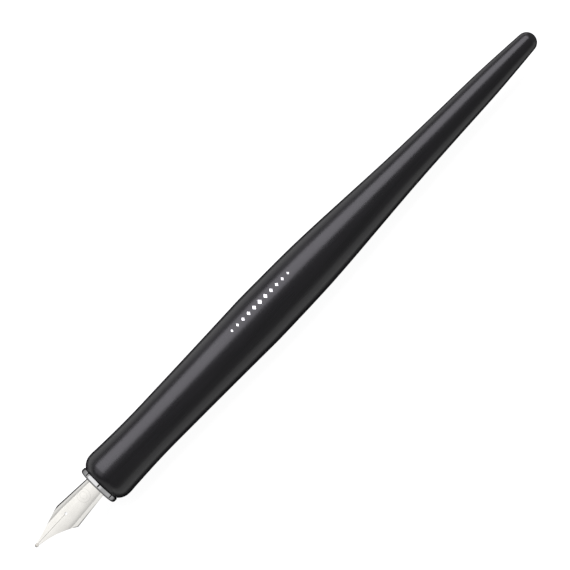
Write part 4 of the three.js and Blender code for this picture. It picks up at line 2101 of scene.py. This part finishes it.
@dataclass
class Studio:
    """Plain white floor, soft light and the camera.

    Attributes:
        layout: Main places of the pen.
        roll: Angle in degrees between the upright and the camera, towards -Y.
        heading: Angle in degrees of the pen in the picture, counter-clockwise from its right.
        distance: Distance from the camera to the pen.
        picture_width: Width of what the camera sees at the pen.
        shift_right: How far the pen's middle lies right of the picture's middle.
        shift_down: How far it lies below.
        surround: Brightness of the room by height: pairs of height, from -1 below to 1 above, and value.
        surround_tilt: Tilt of the room's brightest band in degrees, towards -Y.
        front_wall: Where the room gets dark beyond the nib: X of a direction that is dark and of one
            that is lit.
        front_dimming: Brightness of that dark part, as a share of the lit one.
        floor_grey: How much of the light the floor throws back.
        floor_glow: Share of the floor's white that stays in the shadow.
        floor_half_width: Half width of the floor.
    """

    layout: PenLayout
    roll: float = 18.5
    heading: float = 45.99
    distance: float = 0.79
    picture_width: float = 130.2 * MM
    shift_right: float = 0.23 * MM
    shift_down: float = 1.5 * MM
    surround: tuple[tuple[float, float], ...] = (
        (-0.76, 0.0),
        (-0.62, 0.2),
        (-0.5, 0.35),
        (-0.1, 0.42),
        (0.08, 0.54),
        (0.36, 0.54),
        (0.5, 0.5),
    )
    surround_tilt: float = 12.0
    front_wall: tuple[float, float] = (-0.85, -0.35)
    front_dimming: float = 0.4
    floor_grey: float = 0.09
    floor_glow: float = 0.945
    floor_half_width: float = 3.0

    def build(
        self,
        wooden: list[bpy.types.Object],
        trim: list[bpy.types.Object],
        bright: list[bpy.types.Object],
    ) -> None:
        """Builds floor, surroundings, lights and camera.

        Args:
            wooden: The dark lacquered pieces, which take a strong light.
            trim: The front ring, which takes a gentle light from above only.
            bright: The nib and what lies at it, which take a gentle light from all sides.
        """
        floor = self._floor()
        self._surroundings()
        for softbox in self._wood_lights():
            softbox.hang([*wooden, floor] if softbox.lights_floor else wooden)
        for softbox in self._nib_lights():
            softbox.hang(bright)
        for softbox in self._ring_lights():
            softbox.hang(trim)
        self._camera()
        bpy.context.scene.view_settings.view_transform = "Standard"

    def _wood_lights(self) -> list[Softbox]:
        """Lists the softboxes that shine on the lacquered holder.

        Returns:
            The strong key light, a weak panel at each side and one before the nib.
        """
        return [
            Softbox(
                "key_softbox",
                angle=28.5,
                width=1.1,
                radiance=6.2,
                length=3.0,
                dim_to=0.29,
                bright_from=0.38,
                dim_share=0.35,
                tint=(1.0, 0.97, 1.06),
                lights_floor=True,
            ),
            Softbox("near_wood_panel", angle=-112.0, width=0.96, radiance=1.02, length=3.0),
            Softbox("far_wood_panel", angle=95.0, width=0.8, radiance=1.05, length=3.0),
            Softbox("front_wood_panel", angle=25.0, width=2.4, radiance=0.85, length=1.2, lean=98.0),
        ]

    def _nib_lights(self) -> list[Softbox]:
        """Lists the softboxes that shine on the nib, the writing ball, the feed and the socket.

        Returns:
            A wide gentle light from above and a panel at each side.
        """
        return [
            Softbox(
                "gentle_softbox",
                angle=0.0,
                width=6.4,
                radiance=0.615,
                length=3.0,
                dims=Side.ACROSS,
                dim_to=0.12,
                bright_from=0.58,
                dim_share=0.3,
                tint=(1.0, 0.99, 0.98),
            ),
            Softbox("near_nib_panel", angle=-100.0, width=1.1, radiance=0.42, length=3.0),
            Softbox(
                "far_nib_panel",
                angle=97.0,
                width=0.8,
                radiance=0.52,
                length=3.0,
                dims=Side.ACROSS,
                dim_to=0.2,
                bright_from=0.5,
                dim_share=0.5,
            ),
        ]

    def _ring_lights(self) -> list[Softbox]:
        """Lists the softboxes that shine on the front ring.

        Returns:
            One light from above, dimmer towards the -Y side.
        """
        return [
            Softbox(
                "ring_softbox",
                angle=8.0,
                width=2.6,
                radiance=0.64,
                length=3.0,
                dims=Side.ACROSS,
                dim_to=0.0,
                bright_from=0.4,
                dim_share=0.2,
            ),
        ]

    def _floor(self) -> bpy.types.Object:
        """Lays the white floor under the pen.

        Returns:
            The floor, which mirrors nothing into the pen.
        """

        def fill(shape: bmesh.types.BMesh) -> None:
            """Makes one large square."""
            bmesh.ops.create_grid(shape, x_segments=1, y_segments=1, size=self.floor_half_width)

        floor = linked_object("floor", mesh_from("floor", fill))
        white = bpy.data.materials.new("floor_white")
        white.use_nodes = True
        surface = white.node_tree.nodes["Principled BSDF"]
        grey = self.floor_grey
        surface.inputs["Base Color"].default_value = (grey, grey, grey, 1.0)
        surface.inputs["Roughness"].default_value = 0.8
        surface.inputs["Emission Color"].default_value = (1.0, 1.0, 1.0, 1.0)
        surface.inputs["Emission Strength"].default_value = self.floor_glow
        dress(floor, white)
        floor.visible_glossy = False
        floor.visible_shadow = False
        return floor

    def _surroundings(self) -> None:
        """Sets the light of a pale room: bright at eye level, dim above and dark below."""
        world = bpy.data.worlds.new("room")
        world.use_nodes = True
        world.node_tree.nodes.clear()
        build = TreeBuilder(world.node_tree)
        tilt = math.radians(self.surround_tilt)
        direction = build.add("ShaderNodeTexCoord").outputs["Generated"]
        height = build.add(
            "ShaderNodeVectorMath",
            {0: direction, 1: (0.0, -math.sin(tilt), math.cos(tilt))},
            operation="DOT_PRODUCT",
        )
        parts = build.add("ShaderNodeSeparateXYZ", {0: direction})
        lit = build.between(parts.outputs[0], *self.front_wall, self.front_dimming, 1.0)
        peak = max(value for _, value in self.surround)
        strength = build.math("MULTIPLY", lit, peak)
        place = build.between(height.outputs["Value"], -1.0, 1.0, 0.0, 1.0)
        ramp = build.add("ShaderNodeValToRGB", {"Fac": place})
        stops = ramp.color_ramp.elements
        while len(stops) < len(self.surround):
            stops.new(0.5)
        for stop, (level, value) in zip(stops, self.surround):
            stop.position = 0.5 * (level + 1.0)
            share = value / peak
            stop.color = (share, share, share, 1.0)
        seen = build.add("ShaderNodeLightPath").outputs["Is Camera Ray"]
        room = build.add("ShaderNodeBackground", {"Color": ramp.outputs["Color"], "Strength": strength})
        backdrop = build.add("ShaderNodeBackground", {"Color": (1.0, 1.0, 1.0, 1.0), "Strength": 1.0})
        mixed = build.add("ShaderNodeMixShader", {0: seen, 1: room.outputs[0], 2: backdrop.outputs[0]})
        build.add("ShaderNodeOutputWorld", {"Surface": mixed.outputs[0]})
        bpy.context.scene.world = world

    def _camera(self) -> None:
        """Puts the camera over the pen, turned so that the pen lies across the picture."""
        roll = math.radians(self.roll)
        heading = math.radians(self.heading)
        toward = Vector((0.0, -math.sin(roll), math.cos(roll)))
        along = Vector((1.0, 0.0, 0.0))
        across = toward.cross(along)
        right = along * math.cos(heading) - across * math.sin(heading)
        up = along * math.sin(heading) + across * math.cos(heading)
        middle = Vector((0.5 * (self.layout.point + self.layout.tail), 0.0, self.layout.axis_height))
        aim = middle - right * self.shift_right + up * self.shift_down
        lens = bpy.data.cameras.new("camera")
        lens.sensor_width = FULL_FRAME_WIDTH
        lens.lens = lens.sensor_width * self.distance / self.picture_width
        lens.clip_start = 0.01
        lens.clip_end = 20.0
        camera = bpy.data.objects.new("camera", lens)
        turn = Matrix((right, up, toward)).transposed()
        camera.matrix_world = Matrix.Translation(aim + toward * self.distance) @ turn.to_4x4()
        bpy.context.scene.collection.objects.link(camera)
        bpy.context.scene.camera = camera


# ------------------------------------------------------------------------------------------------
# Assembly
# ------------------------------------------------------------------------------------------------


def plain(bounds: Sequence[Vector]) -> list[list[float]]:
    """Turns a pair of corners into plain lists of numbers."""
    return [[float(number) for number in corner] for corner in bounds]


def main() -> None:
    """Builds the pen's pieces in order."""
    logging.basicConfig(level=logging.INFO, format="%(name)s: %(message)s")
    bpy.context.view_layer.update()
    layout = PenLayout.from_frame()
    workshop = Workshop(layout)
    wooden = Holder(workshop).build()
    trim = [FrontRing(workshop).build()]
    bright = [NibSocket(workshop).build()]
    nib = Nib(workshop)
    bright.extend(nib.build())
    bright.extend(WritingBall(workshop).build())
    bright.append(Feed(workshop).build(nib))
    Studio(layout).build(wooden, trim, bright)


if __name__ == "__main__":
    main()
